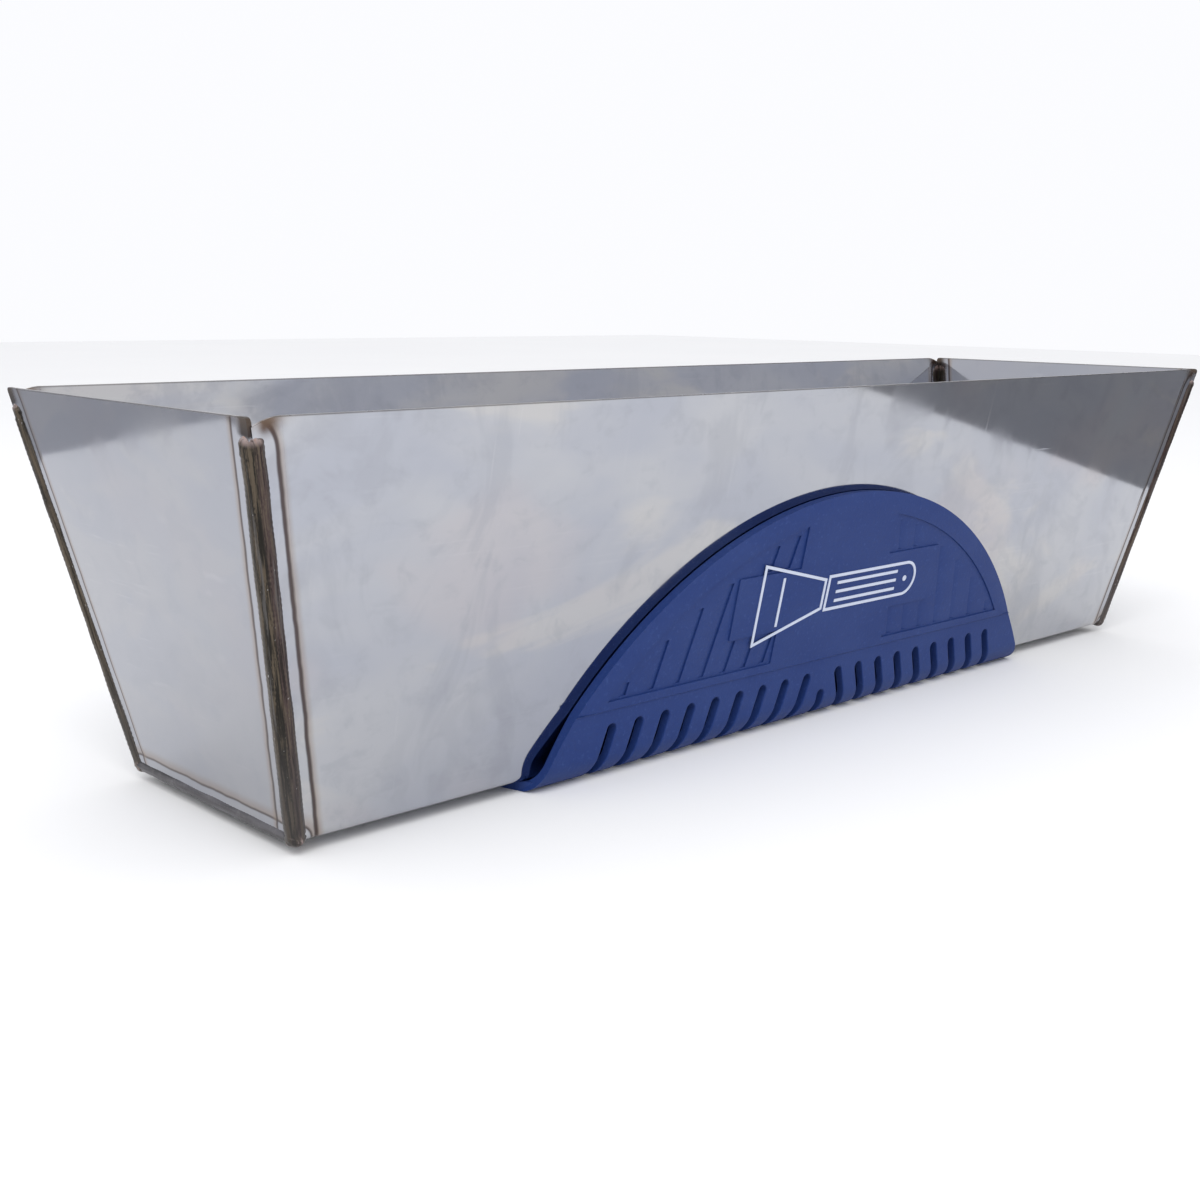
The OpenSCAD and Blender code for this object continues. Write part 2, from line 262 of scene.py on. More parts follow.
class MUDPAN_PG_stage(bpy.types.PropertyGroup):
    """Floor, light and camera."""

    aim_x: length("Aim X", "Point that the camera looks at", -0.0265)
    aim_y: length("Aim Y", "Point that the camera looks at", 0.0202)
    aim_z: length("Aim Z", "Point that the camera looks at", 0.0267)
    azimuth: angle("Azimuth", "Camera's turn round the pan", -43.43)
    elevation: angle("Elevation", "Camera's height above the horizon", 11.43)
    roll: angle("Roll", "Camera's roll", 0.70)
    distance: length("Distance", "Distance from the camera to its aim", 0.42)
    lens: amount("Lens", "Focal length on a 36 mm sensor, in millimetres", 44.85)
    floor_size: length("Floor size", "Width of the pale floor", 6.0)
    world_light: amount("World light", "Strength of the studio's soft light", 1.0)
    key_light: amount("Key light", "Power of the large soft light, in watts", 9.0)
    cards: bpy.props.BoolProperty(
        name="Cards", description="Grey cards that the steel reflects", default=True
    )


GROUPS = (MUDPAN_PG_pan, MUDPAN_PG_weld, MUDPAN_PG_grip, MUDPAN_PG_looks, MUDPAN_PG_stage)


def pointer_name(group):
    """Name of the scene's pointer to a group of settings."""
    return "mudpan_" + group.__name__.rsplit("_", 1)[1]


def settings(name):
    """One of the scene's groups of settings, such as settings("grip")."""
    return getattr(bpy.context.scene, "mudpan_" + name)


# ---------------------------------------------------------------- modelling tools


def leave_edit():
    """Back to object mode with nothing selected."""
    if bpy.context.object and bpy.context.object.mode != "OBJECT":
        bpy.ops.object.mode_set(mode="OBJECT")
    bpy.ops.object.select_all(action="DESELECT")


def activate(piece):
    """Leaves edit mode with one piece selected and active."""
    leave_edit()
    piece.select_set(True)
    bpy.context.view_layer.objects.active = piece


def take(name):
    """Names the primitive that was just added, puts its place in its mesh and enters edit mode."""
    piece = bpy.context.object
    piece.name = name
    piece.data.name = name
    bpy.ops.object.transform_apply(location=True, rotation=True, scale=True)
    bpy.ops.object.mode_set(mode="EDIT")
    bpy.ops.mesh.select_all(action="DESELECT")
    return piece


def edit(piece):
    """Enters edit mode on a finished piece, with nothing selected."""
    activate(piece)
    bpy.ops.object.mode_set(mode="EDIT")
    bpy.ops.mesh.select_all(action="DESELECT")


def pick_all():
    """Selects the whole edited mesh."""
    bpy.ops.mesh.select_all(action="SELECT")


def pick(kind, test):
    """Selects the edited mesh's "verts", "edges" or "faces" that pass a test. Returns how many."""
    mode = {"verts": "VERT", "edges": "EDGE", "faces": "FACE"}[kind]
    bpy.ops.mesh.select_mode(type=mode)
    mesh = bpy.context.object.data
    form = bmesh.from_edit_mesh(mesh)
    for group in (form.faces, form.edges, form.verts):
        for item in group:
            item.select = False
    found = [item for item in getattr(form, kind) if test(item)]
    for item in found:
        item.select_set(True)
    form.select_flush_mode()
    bmesh.update_edit_mesh(mesh)
    return len(found)


def middle(item):
    """The middle of an edge or a face."""
    total = Vector((0, 0, 0))
    for vert in item.verts:
        total += vert.co
    return total / len(item.verts)


def shift(value):
    """Moves the selection."""
    bpy.ops.transform.translate(value=value)


def extrude(value):
    """Extrudes the selection by a step."""
    bpy.ops.mesh.extrude_region_move(TRANSFORM_OT_translate={"value": value})


def round_edges(radius, segments, clamp=False):
    """Rounds the selected edges; clamp keeps neighbouring rounds from crossing."""
    bpy.ops.mesh.bevel(offset=radius, segments=segments, affect="EDGES", clamp_overlap=clamp)


def cut(point, normal, outer=False, fill=False):
    """Bisects the whole edited mesh; outer removes what lies on the normal's side."""
    pick_all()
    bpy.ops.mesh.bisect(plane_co=point, plane_no=normal, clear_outer=outer, use_fill=fill)
    bpy.ops.mesh.select_all(action="DESELECT")


def block(name, size, centre):
    """Draws a block and leaves it in edit mode, all selected."""
    leave_edit()
    bpy.ops.mesh.primitive_cube_add(size=1)
    piece = take(name)
    pick_all()
    bpy.ops.transform.resize(value=size)
    shift(centre)
    return piece


def finish_mesh(piece, smooth=30):
    """Leaves edit mode with outward normals and smooth shading up to an angle in degrees."""
    edit(piece)
    pick_all()
    bpy.ops.mesh.remove_doubles(threshold=0.000002)
    bpy.ops.mesh.normals_make_consistent(inside=False)
    activate(piece)
    bpy.ops.object.shade_smooth_by_angle(angle=math.radians(smooth))
    leave_edit()
    return piece


def modify(piece, kind, **values):
    """Adds a modifier, sets it and applies it."""
    activate(piece)
    modifier = piece.modifiers.new(kind.title(), kind)
    for key, value in values.items():
        setattr(modifier, key, value)
    bpy.ops.object.modifier_apply(modifier=modifier.name)


def carve(piece, tool, operation="DIFFERENCE"):
    """Cuts a piece with a tool, or keeps what they share, and removes the tool."""
    modify(piece, "BOOLEAN", object=tool, operation=operation, solver="EXACT")
    bpy.data.objects.remove(tool)


def carve_both(piece, cutter):
    """Cuts a piece with a back wall's cutter and with its mirror image on the front."""
    front = mirrored(cutter, cutter.name + "_front", 1)
    for tool in (cutter, front):
        carve(piece, tool)
        finish_mesh(piece)
    if not piece.data.polygons:
        raise RuntimeError("a cut left nothing of " + piece.name)


def copy_piece(piece, name):
    """A copy with its own mesh."""
    twin = piece.copy()
    twin.data = piece.data.copy()
    twin.name = name
    twin.data.name = name
    bpy.context.scene.collection.objects.link(twin)
    return twin


def mirrored(piece, name, axis):
    """A copy mirrored across X = 0 (axis 0) or Y = 0 (axis 1), with its faces still outwards."""
    twin = copy_piece(piece, name)
    turn = Matrix.Identity(4)
    turn[axis][axis] = -1
    twin.data.transform(turn)
    twin.data.flip_normals()
    return twin


def join(pieces, name):
    """Joins pieces into the first one."""
    leave_edit()
    for piece in pieces:
        piece.select_set(True)
    bpy.context.view_layer.objects.active = pieces[0]
    bpy.ops.object.join()
    pieces[0].name = name
    return pieces[0]


def dress(piece, slot, material, *nodes):
    """Gives a piece its material and its place in the frame, and hides the CAD nodes it stands for."""
    piece.data.materials.clear()
    piece.data.materials.append(material)
    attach(piece, BODY)
    if nodes:
        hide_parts(*nodes)


# ---------------------------------------------------------------- the pan's geometry


def side_lean():
    """Lean of the long walls from upright."""
    pan = settings("pan")
    return math.atan((pan.rim_width - pan.floor_width) / 2 / (pan.rim_z - pan.floor_z))


def end_lean():
    """Lean of the end plates from upright."""
    pan = settings("pan")
    return math.atan((pan.rim_length - pan.floor_length) / 2 / (pan.rim_z - pan.floor_z))


def wall_y(z):
    """Outer face of a long wall at a height."""
    pan = settings("pan")
    return pan.floor_width / 2 + (z - pan.floor_z) * math.tan(side_lean())


def end_x(z):
    """Outer face of an end plate at a height."""
    pan = settings("pan")
    return pan.floor_length / 2 + (z - pan.floor_z) * math.tan(end_lean())


def wall_normal(side):
    """Outwards from a long wall."""
    return Vector((0, side * math.cos(side_lean()), -math.sin(side_lean())))


def end_normal(end):
    """Outwards from an end plate."""
    return Vector((end * math.cos(end_lean()), 0, -math.sin(end_lean())))


def seam_point(z, inset):
    """A point of the back right-hand corner, an inset inside both outer faces."""
    x = end_x(z) - inset / math.cos(end_lean())
    y = wall_y(z) - inset / math.cos(side_lean())
    return Vector((x, y, z))


def seam_direction():
    """Upwards along the back right-hand corner."""
    pan = settings("pan")
    return (seam_point(pan.rim_z, 0) - seam_point(pan.floor_z, 0)).normalized()


def seam_line(turn, outward, axis):
    """The way across a sheet towards the corner that turn mirrors the seam to, and the seam's foot."""
    across = outward.cross(seam_direction() * turn).normalized()
    if across[axis] * turn[axis] < 0:
        across.negate()
    return across, seam_point(settings("pan").floor_z, 0) * turn


def flank_steps():
    """Distances from a seam of the three lines that a sunk flank is drawn with."""
    pan = settings("pan")
    return pan.flank_start, pan.flank_middle, pan.flank_end


def wall_point(up, out):
    """[y, z] of a point up the back wall from the floor line, and outwards from its face."""
    pan = settings("pan")
    lean = side_lean()
    return Vector((
        pan.floor_width / 2 + up * math.sin(lean) + out * math.cos(lean),
        pan.floor_z + up * math.cos(lean) - out * math.sin(lean),
    ))


# ---------------------------------------------------------------- shader tools


class Value:
    """A node socket that can be used in arithmetic."""

    def __init__(self, paint, socket):
        self.paint = paint
        self.socket = socket

    def join(self, operation, first, second):
        return self.paint.node("ShaderNodeMath", {"operation": operation}, {0: first, 1: second})

    def __add__(self, other):
        return self.join("ADD", self, other)

    def __radd__(self, other):
        return self.join("ADD", other, self)

    def __sub__(self, other):
        return self.join("SUBTRACT", self, other)

    def __rsub__(self, other):
        return self.join("SUBTRACT", other, self)

    def __mul__(self, other):
        return self.join("MULTIPLY", self, other)

    def __rmul__(self, other):
        return self.join("MULTIPLY", other, self)

    def __pow__(self, other):
        return self.join("POWER", self, other)


class Paint:
    """Builds one material: a Principled shader and the nodes that feed it."""

    def __init__(self, name, **constants):
        self.material = bpy.data.materials.new(name)
        self.material.use_nodes = True
        self.tree = self.material.node_tree
        self.shader = self.tree.nodes["Principled BSDF"]
        for key, value in constants.items():
            socket = key.replace("_", " ").title().replace("Ior", "IOR")
            self.shader.inputs[socket].default_value = value

    def node(self, kind, options=None, sockets=None, out=0):
        """Adds a node: its options first, then the values or links of its sockets."""
        made = self.tree.nodes.new(kind)
        for key, value in (options or {}).items():
            setattr(made, key, value)
        for key, value in (sockets or {}).items():
            socket = made.inputs[key]
            if isinstance(value, Value):
                self.tree.links.new(value.socket, socket)
            elif hasattr(value, "__len__") and len(value) == 3 and socket.type == "RGBA":
                socket.default_value = (*value, 1.0)
            else:
                socket.default_value = value
        return Value(self, made.outputs[out])

    def place(self, scale=(1, 1, 1), turn=(0, 0, 0)):
        """The surface point in the object's own metres, scaled and turned."""
        point = self.node("ShaderNodeTexCoord", out="Object")
        return self.node("ShaderNodeMapping", None, {"Vector": point, "Scale": scale, "Rotation": turn})

    def axes(self):
        """The surface point's x, y and z."""
        point = self.node("ShaderNodeTexCoord", out="Object")
        split = self.node("ShaderNodeSeparateXYZ", None, {0: point}).socket.node
        return [Value(self, split.outputs[i]) for i in range(3)]

    def noise(self, place, scale, detail=3.0, rough=0.5, distortion=0.0):
        """Smooth noise from 0 to 1."""
        sockets = {"Vector": place, "Scale": scale, "Detail": detail}
        sockets.update({"Roughness": rough, "Distortion": distortion})
        return self.node("ShaderNodeTexNoise", None, sockets)

    def ramp(self, value, low, high, to_low=0.0, to_high=1.0):
        """Goes smoothly from to_low to to_high as a value goes from low to high."""
        return self.node(
            "ShaderNodeMapRange",
            {"interpolation_type": "SMOOTHSTEP"},
            {"Value": value, "From Min": low, "From Max": high, "To Min": to_low, "To Max": to_high},
        )

    def mix(self, mask, first, second):
        """Goes from the first colour to the second by a mask."""
        return self.node("ShaderNodeMix", {"data_type": "RGBA"}, {0: mask, 6: first, 7: second}, out=2)

    def layers(self, tone, *rows):
        """Lays colours over a tone. Each row: pattern, where it starts, where it is full, share, colour."""
        for pattern, low, high, share, shade in rows:
            tone = self.mix(self.ramp(pattern, low, high) * share, tone, shade)
        return tone

    def above(self, value, level):
        """How far a value is above a level, or nothing below it."""
        return self.node("ShaderNodeMath", {"operation": "MAXIMUM"}, {0: value - level, 1: 0.0})

    def scaled(self, vector, factor):
        """A vector times a number."""
        return self.node("ShaderNodeVectorMath", {"operation": "SCALE"}, {0: vector, 3: factor})

    def vector(self, operation, first, second=None, out=0):
        """Vector maths."""
        sockets = {0: first} if second is None else {0: first, 1: second}
        return self.node("ShaderNodeVectorMath", {"operation": operation}, sockets, out)

    def bump(self, height, strength, depth, under=None):
        """A bumped normal, over another one."""
        sockets = {"Height": height, "Strength": strength, "Distance": depth}
        if under is not None:
            sockets["Normal"] = under
        return self.node("ShaderNodeBump", None, sockets)

    def feed(self, name, value):
        """Links a value to one of the shader's sockets."""
        self.tree.links.new(value.socket, self.shader.inputs[name])


def seam_frame(paint):
    """The point folded into the back right-hand corner and taken from its seam's foot.

    Gives the folded vector, its length along the upright seam and what is left across it.
    """
    pan = settings("pan")
    x, y, z = paint.axes()
    sides = [paint.node("ShaderNodeMath", {"operation": "ABSOLUTE"}, {0: side}) for side in (x, y)]
    folded = paint.node("ShaderNodeCombineXYZ", None, {0: sides[0], 1: sides[1], 2: z})
    from_foot = paint.vector("SUBTRACT", folded, seam_point(pan.floor_z, 0))
    along = paint.vector("DOT_PRODUCT", from_foot, seam_direction(), out="Value")
    across = paint.vector("SUBTRACT", from_foot, paint.scaled(seam_direction(), along))
    return from_foot, along, across


def seam_length():
    """Length of an upright seam up to where its bead starts."""
    pan = settings("pan")
    return (seam_point(pan.rim_z - settings("weld").start, 0) - seam_point(pan.floor_z, 0)).length


def bead_edge(radius):
    """Distance from the seam to where a bead meets the sheet's face."""
    inset = settings("weld").inset
    return inset + math.sqrt(radius**2 - inset**2)


def heat_tint(paint, base, distance, clean, line, fade):
    """Bands of heat tint beside a weld: a clean strip, a dark line and straw that fades out."""
    looks = settings("looks")
    dark = clean + line
    straw = paint.ramp(distance, clean, dark) * paint.ramp(distance, dark, dark + fade, 1.0, 0.0)
    toned = paint.mix(straw * 0.5, base, looks.straw)
    rise = paint.ramp(distance, clean - 0.2 * MM, clean + 0.3 * MM)
    fall = paint.ramp(distance, dark - 0.3 * MM, dark + 0.35 * MM, 1.0, 0.0)
    return paint.mix(rise * fall * 0.9, toned, looks.tint)


def sheet_steel(name, plate):
    """Semi-bright mill-finish stainless sheet, clouded, smeared and heat tinted at the welds; on the end
    plates it is darkened as a whole with painted shade.
    """
    looks = settings("looks")
    weld = settings("weld")
    pan = settings("pan")
    paint = Paint(name, metallic=1.0, roughness=0.2)
    clouds = paint.noise(paint.place((1, 1, 1.5)), 15.0, 3.0, 0.5, 0.9)
    patches = paint.noise(paint.place((0.6, 1, 1.6), (0.3, 0.2, 0.5)), 24.0, 4.0, 0.55, 0.7)
    smears = paint.noise(paint.place((1.4, 1, 0.8), (0.0, 0.35, 0.0)), 30.0, 4.0, 0.6, 1.1)
    blush = paint.noise(paint.place((0.8, 1, 1.3), (0.1, 0.6, 0.2)), 19.0, 2.0, 0.5, 0.6)
    mottle = paint.noise(paint.place((1, 1, 1.2)), 130.0, 4.0, 0.6, 0.4)
    tone = paint.mix(paint.ramp(clouds, 0.36, 0.64), looks.steel_cool, looks.steel)
    tone = paint.layers(
        tone,
        (patches, 0.50, 0.62, 0.70, looks.steel_warm),
        (blush, 0.54, 0.68, 0.35, looks.steel_blush),
        (smears, 0.54, 0.66, 0.34, looks.steel_smear),
        (mottle, 0.50, 0.70, 0.34, looks.steel_smear),
    )
    tone = paint.mix(rubbed_rings(paint) * 0.20, tone, looks.steel_smear)
    # Painted shade: the end plates' steel is darkened as a whole, standing in for their darker reflection.
    if plate:
        tone = paint.mix(0.7, tone, looks.steel_smear)
    scuffs = hairlines(paint)
    tone = paint.mix(scuffs * 0.16, tone, looks.scuff)
    from_foot, along, across = seam_frame(paint)
    wobble = (paint.noise(paint.place(), 140.0, 2.0) - 0.5) * (0.7 * MM)
    top = seam_length()
    beyond = paint.above(along, top)
    reach = paint.vector("LENGTH", across, out="Value")
    past = paint.above(along, top - (0 if plate else weld.wall_closing))
    upright = (reach * reach + past * past * (0.15 if plate else 0.6)) ** 0.5 + wobble
    floor = paint.vector("LENGTH", paint.vector("MULTIPLY", from_foot, (1, 0, 1)), out="Value") + wobble
    clean = bead_edge(weld.floor_radius) + weld.floor_clean
    tone = heat_tint(paint, tone, floor, clean, weld.floor_line, weld.floor_straw)
    clean = bead_edge(weld.radius) + (weld.plate_clean if plate else weld.wall_clean)
    line = weld.plate_line if plate else weld.wall_line
    tone = heat_tint(paint, tone, upright, clean, line, weld.upright_straw)
    if plate:
        pocket = paint.ramp(beyond, 0.3 * MM, 1.5 * MM) * paint.ramp(reach, 1.8 * MM, 4.2 * MM, 1.0, 0.0)
    else:
        pocket = paint.ramp(along, top - 0.5 * MM, top + 2.5 * MM) * paint.ramp(reach, 1.2 * MM, 3.2 * MM)
        pocket = pocket * paint.ramp(reach, 4.0 * MM, 8.5 * MM, 1.0, 0.0)
        pocket = pocket * paint.ramp(mottle, 0.30, 0.60, 0.55, 1.0)
    tone = paint.mix(pocket * 0.95, tone, looks.scorch if plate else looks.scorch_edge)
    fan = paint.ramp(beyond, 1.0 * MM, 5.0 * MM) * paint.ramp(reach, 6.0 * MM, 12.0 * MM, 1.0, 0.0)
    tone = paint.mix(fan * (0.25 if plate else 0.5), tone, looks.straw)
    sheared = paint.ramp(paint.axes()[2], pan.rim_z - 0.40 * MM, pan.rim_z - 0.15 * MM)
    tone = paint.mix(sheared * 0.6, tone, looks.sheared)
    paint.feed("Base Color", tone)
    haze = paint.ramp(smears, 0.45, 0.70) * 0.06 + paint.ramp(patches, 0.45, 0.70) * 0.035
    paint.feed("Roughness", 0.065 + haze + scuffs * 0.06 + pocket * 0.25 + sheared * 0.2)
    waves = paint.noise(paint.place((1, 1, 1.2)), 8.0, 1.0, 0.4)
    dents = paint.noise(paint.place((1.3, 1, 0.8), (0.2, 0.1, 0.3)), 31.0, 1.0, 0.4)
    normal = paint.bump(waves, 0.10, 0.0035)
    normal = paint.bump(dents, 0.10, 0.0006, normal)
    normal = paint.bump(scuffs, 0.10, 0.00004, normal)
    paint.feed("Normal", normal)
    return paint.material


def rubbed_rings(paint):
    """Faint swirls where the sheet was wiped, in a few patches only."""
    where = paint.noise(paint.place(), 17.0, 1.0, 0.4)
    swirl = paint.node(
        "ShaderNodeTexWave",
        {"wave_type": "RINGS", "rings_direction": "Y", "wave_profile": "SIN"},
        {
            "Vector": paint.place((1, 1, 1.6)),
            "Scale": 26.0,
            "Distortion": 7.0,
            "Detail": 2.0,
            "Detail Scale": 1.4,
        },
    )
    return paint.ramp(swirl, 0.62, 0.95) * paint.ramp(where, 0.52, 0.66)


def hairlines(paint):
    """Fine scratches in two directions, gathered in patches."""
    first = paint.noise(paint.place((26, 60, 900), (0.0, 0.62, 0.0)), 1.0, 2.0, 0.6)
    second = paint.noise(paint.place((700, 60, 30), (0.0, 0.30, 0.0)), 1.0, 2.0, 0.6)
    where = paint.noise(paint.place(), 21.0, 2.0, 0.5)
    lines = paint.ramp(first, 0.60, 0.72) * paint.ramp(where, 0.46, 0.62)
    return lines + paint.ramp(second, 0.63, 0.74) * paint.ramp(where, 0.52, 0.40)


def weld_metal(name):
    """Unpolished weld metal with oxide streaks along the bead, paler, lumpy craters and painted glints."""
    looks = settings("looks")
    paint = Paint(name, metallic=0.85, roughness=0.4)
    _, along, across = seam_frame(paint)
    stretched = paint.vector("ADD", across, paint.scaled(seam_direction(), along * 0.05))
    streaks = paint.noise(stretched, 1700.0, 4.0, 0.65)
    broad = paint.noise(paint.vector("ADD", stretched, (0.3, 0.1, 0.2)), 620.0, 3.0, 0.6)
    mottles = paint.noise(paint.place(), 430.0, 4.0, 0.65, 0.8)
    x = paint.vector("DOT_PRODUCT", across, (1, 0, 0), out="Value")
    y = paint.vector("DOT_PRODUCT", across, (0, 1, 0), out="Value")
    side = (y - x) + (broad - 0.5) * (3.0 * MM)
    tone = paint.mix(paint.ramp(side, -2.6 * MM, -0.6 * MM), looks.bead_plate, looks.bead)
    tone = paint.mix(paint.ramp(side, 0.5 * MM, 2.2 * MM), tone, looks.bead_wall)
    tone = paint.layers(
        tone,
        (streaks, 0.47, 0.62, 0.75, looks.bead_streak),
        (streaks, 0.50, 0.38, 0.75, looks.bead_dark),
        (broad, 0.56, 0.66, 0.45, looks.bead_pale),
        (along, 34 * MM, 8 * MM, 0.45, looks.bead_low),
    )
    top = paint.ramp(along, seam_length() - 0.8 * MM, seam_length() + 0.9 * MM)
    foot = paint.ramp(along, 2.4 * MM, 0.4 * MM)
    tone = paint.mix(top * paint.ramp(mottles, 0.34, 0.52), tone, looks.crater)
    tone = paint.mix(foot * paint.ramp(mottles, 0.50, 0.62) * 0.75, tone, looks.crater)
    fleck = top * paint.ramp(mottles, 0.56, 0.64)
    tone = paint.mix(fleck * 0.35, tone, looks.crater_fleck)
    # Painted glints: bright specks of colour that stand in for highlights on the bead.
    glint = paint.noise(paint.place((1, 1, 0.3)), 2300.0, 2.0, 0.5)
    paint.feed("Base Color", paint.layers(tone, (glint, 0.71, 0.78, 0.80, looks.bead_glint)))
    paint.feed("Roughness", 0.26 + mottles * 0.18)
    paint.feed("Normal", paint.bump(mottles, 0.45, 0.0002, paint.bump(streaks, 0.5, 0.00012)))
    return paint.material


def floor_weld_metal(name):
    """Dull grey weld metal of the beads at the floor's ends."""
    looks = settings("looks")
    paint = Paint(name, metallic=0.8, roughness=0.45)
    mottles = paint.noise(paint.place(), 520.0, 4.0, 0.65, 0.6)
    streaks = paint.noise(paint.place((700, 60, 700)), 1.0, 3.0, 0.55)
    tone = paint.mix(paint.ramp(streaks, 0.35, 0.65), looks.floor_bead_dark, looks.bead_floor)
    paint.feed("Base Color", paint.layers(tone, (mottles, 0.52, 0.70, 0.50, looks.floor_bead_pale)))
    paint.feed("Roughness", 0.34 + mottles * 0.2)
    paint.feed("Normal", paint.bump(mottles, 0.4, 0.00015))
    return paint.material


def grip_plastic(name):
    """Matte moulded elastomer with a fine grain and a faint bloom."""
    looks = settings("looks")
    paint = Paint(name, roughness=0.55, specular_ior_level=0.22)
    grain = paint.noise(paint.place(), 1700.0, 3.0, 0.6)
    speckle = paint.noise(paint.place(), 900.0, 4.0, 0.7)
    bloom = paint.noise(paint.place((1, 1, 2)), 34.0, 3.0, 0.55)
    tone = paint.mix(paint.ramp(bloom, 0.35, 0.7) * 0.6, looks.grip, looks.grip_light)
    tone = paint.layers(
        tone,
        (speckle, 0.54, 0.72, 0.50, looks.grip_speckle),
        (speckle, 0.44, 0.30, 0.40, looks.grip_pit),
    )
    paint.feed("Base Color", tone)
    paint.feed("Roughness", 0.46 + speckle * 0.2)
    paint.feed("Normal", paint.bump(grain, 0.30, 0.00012, paint.bump(speckle, 0.30, 0.00018)))
    return paint.material


def printed_ink(name):
    """White ink, a little thin in places."""
    looks = settings("looks")
    paint = Paint(name, roughness=0.5)
    wear = paint.noise(paint.place(), 900.0, 3.0, 0.6)
    tone = paint.mix(paint.ramp(wear, 0.45, 0.8) * 0.5, looks.ink, looks.ink_thin)
    paint.feed("Base Color", tone)
    paint.feed("Roughness", 0.42 + wear * 0.16)
    return paint.material


def adhesive_layer(name):
    """Pressure-sensitive adhesive, milky and slightly uneven."""
    looks = settings("looks")
    paint = Paint(name, roughness=0.6)
    cloud = paint.noise(paint.place(), 240.0, 3.0, 0.6)
    paint.feed("Base Color", paint.mix(cloud, looks.adhesive, looks.adhesive_thin))
    paint.feed("Roughness", 0.5 + cloud * 0.2)
    return paint.material


# ---------------------------------------------------------------- steel


class MUDPAN_OT_trough(bpy.types.Operator):
    """Folds the floor and the two long walls from one sheet"""

    bl_idname = "mudpan.trough"
    bl_label = "Fold the trough"

    def execute(self, context):
        pan = settings("pan")
        weld = settings("weld")
        lean = side_lean()
        spare = 0.002
        centre_y = wall_y(pan.floor_z + pan.fold_radius) - pan.fold_radius / math.cos(lean)
        fold = Vector((0, centre_y, pan.floor_z + pan.fold_radius))
        leave_edit()
        bpy.ops.mesh.primitive_plane_add(size=1, location=(0, 0, pan.floor_z))
        piece = take("trough")
        pick_all()
        bpy.ops.transform.resize(value=(pan.rim_length, 2 * centre_y, 1))
        for side in (FRONT, BACK):
            pick("edges", lambda e: all(v.co.y * side > centre_y - ON_LINE for v in e.verts))
            bpy.ops.mesh.spin(
                steps=10,
                angle=-side * (math.pi / 2 - lean),
                center=(0, side * fold.y, fold.z),
                axis=(1, 0, 0),
            )
            up = Vector((0, side * math.sin(lean), math.cos(lean)))
            extrude(up * ((pan.rim_z - fold.z + spare) / math.cos(lean)))
        finish_mesh(piece)
        modify(piece, "SOLIDIFY", thickness=pan.sheet, offset=-1.0, use_even_offset=True)
        edit(piece)
        cut((0, 0, pan.rim_z), (0, 0, 1), outer=True, fill=True)
        for end in (LEFT, RIGHT):
            normal = end_normal(end)
            point = Vector((end * pan.floor_length / 2, 0, pan.floor_z)) - normal * pan.sheet
            cut(point, normal, outer=True, fill=True)
            for side in (FRONT, BACK):
                self.dip_corner(end, side)
        self.sink_welds(weld)
        finish_mesh(piece, 35)
        edit(piece)
        self.round_rim()
        finish_mesh(piece, 35)
        dress(piece, "trough_steel", sheet_steel("trough_steel", False), "pan_body")
        return {"FINISHED"}

    def dip_corner(self, end, side):
        """Lets the rim fall in a short curve towards a corner."""
        pan = settings("pan")
        last = end_x(pan.rim_z) - pan.sheet / math.cos(end_lean())
        steps = 5
        for i in range(steps):
            cut((end * (last - pan.dip_length * (1 - i / steps)), 0, 0), (end, 0, 0))
        for i in range(1, steps + 1):
            x = last - pan.dip_length * (1 - i / steps)
            found = pick("verts", lambda v: abs(v.co.x * end - x) < NEAR
                         and v.co.y * side > 0 and v.co.z > pan.rim_z - ON_LINE)
            if found:
                shift((0, 0, -pan.dip_depth * (i / steps) ** 1.6))

    def sink_welds(self, weld):
        """Draws the walls in a little beside the upright welds."""
        pan = settings("pan")
        for end in (LEFT, RIGHT):
            for side in (FRONT, BACK):
                outward = wall_normal(side)
                across, origin = seam_line(Vector((end, side, 1)), outward, 0)
                for distance in flank_steps():
                    self.cut_wall(origin - across * distance, across, side)
                line = origin - across * pan.flank_middle
                pick("verts", lambda v: abs((v.co - line).dot(across)) < ON_FLANK
                     and abs((v.co - origin).dot(outward)) < 0.1 * MM
                     and v.co.z < pan.rim_z - weld.start)
                shift(-outward * pan.flank_depth)

    def cut_wall(self, point, normal, side):
        """Cuts one long wall only."""
        pick("faces", lambda f: middle(f).y * side > settings("pan").floor_width / 2 - 1.2 * MM)
        bpy.ops.mesh.bisect(plane_co=point, plane_no=normal)

    def round_rim(self):
        """Takes the sharpness off the sheared rim."""
        pan = settings("pan")
        low = pan.rim_z - pan.dip_depth - NEAR
        pick("edges", lambda e: e.is_manifold and all(v.co.z > low for v in e.verts)
             and e.calc_face_angle(0) > SHEARED
             and abs(e.verts[0].co.x - e.verts[1].co.x) > 0.3 * MM)
        round_edges(pan.edge_round, 2)


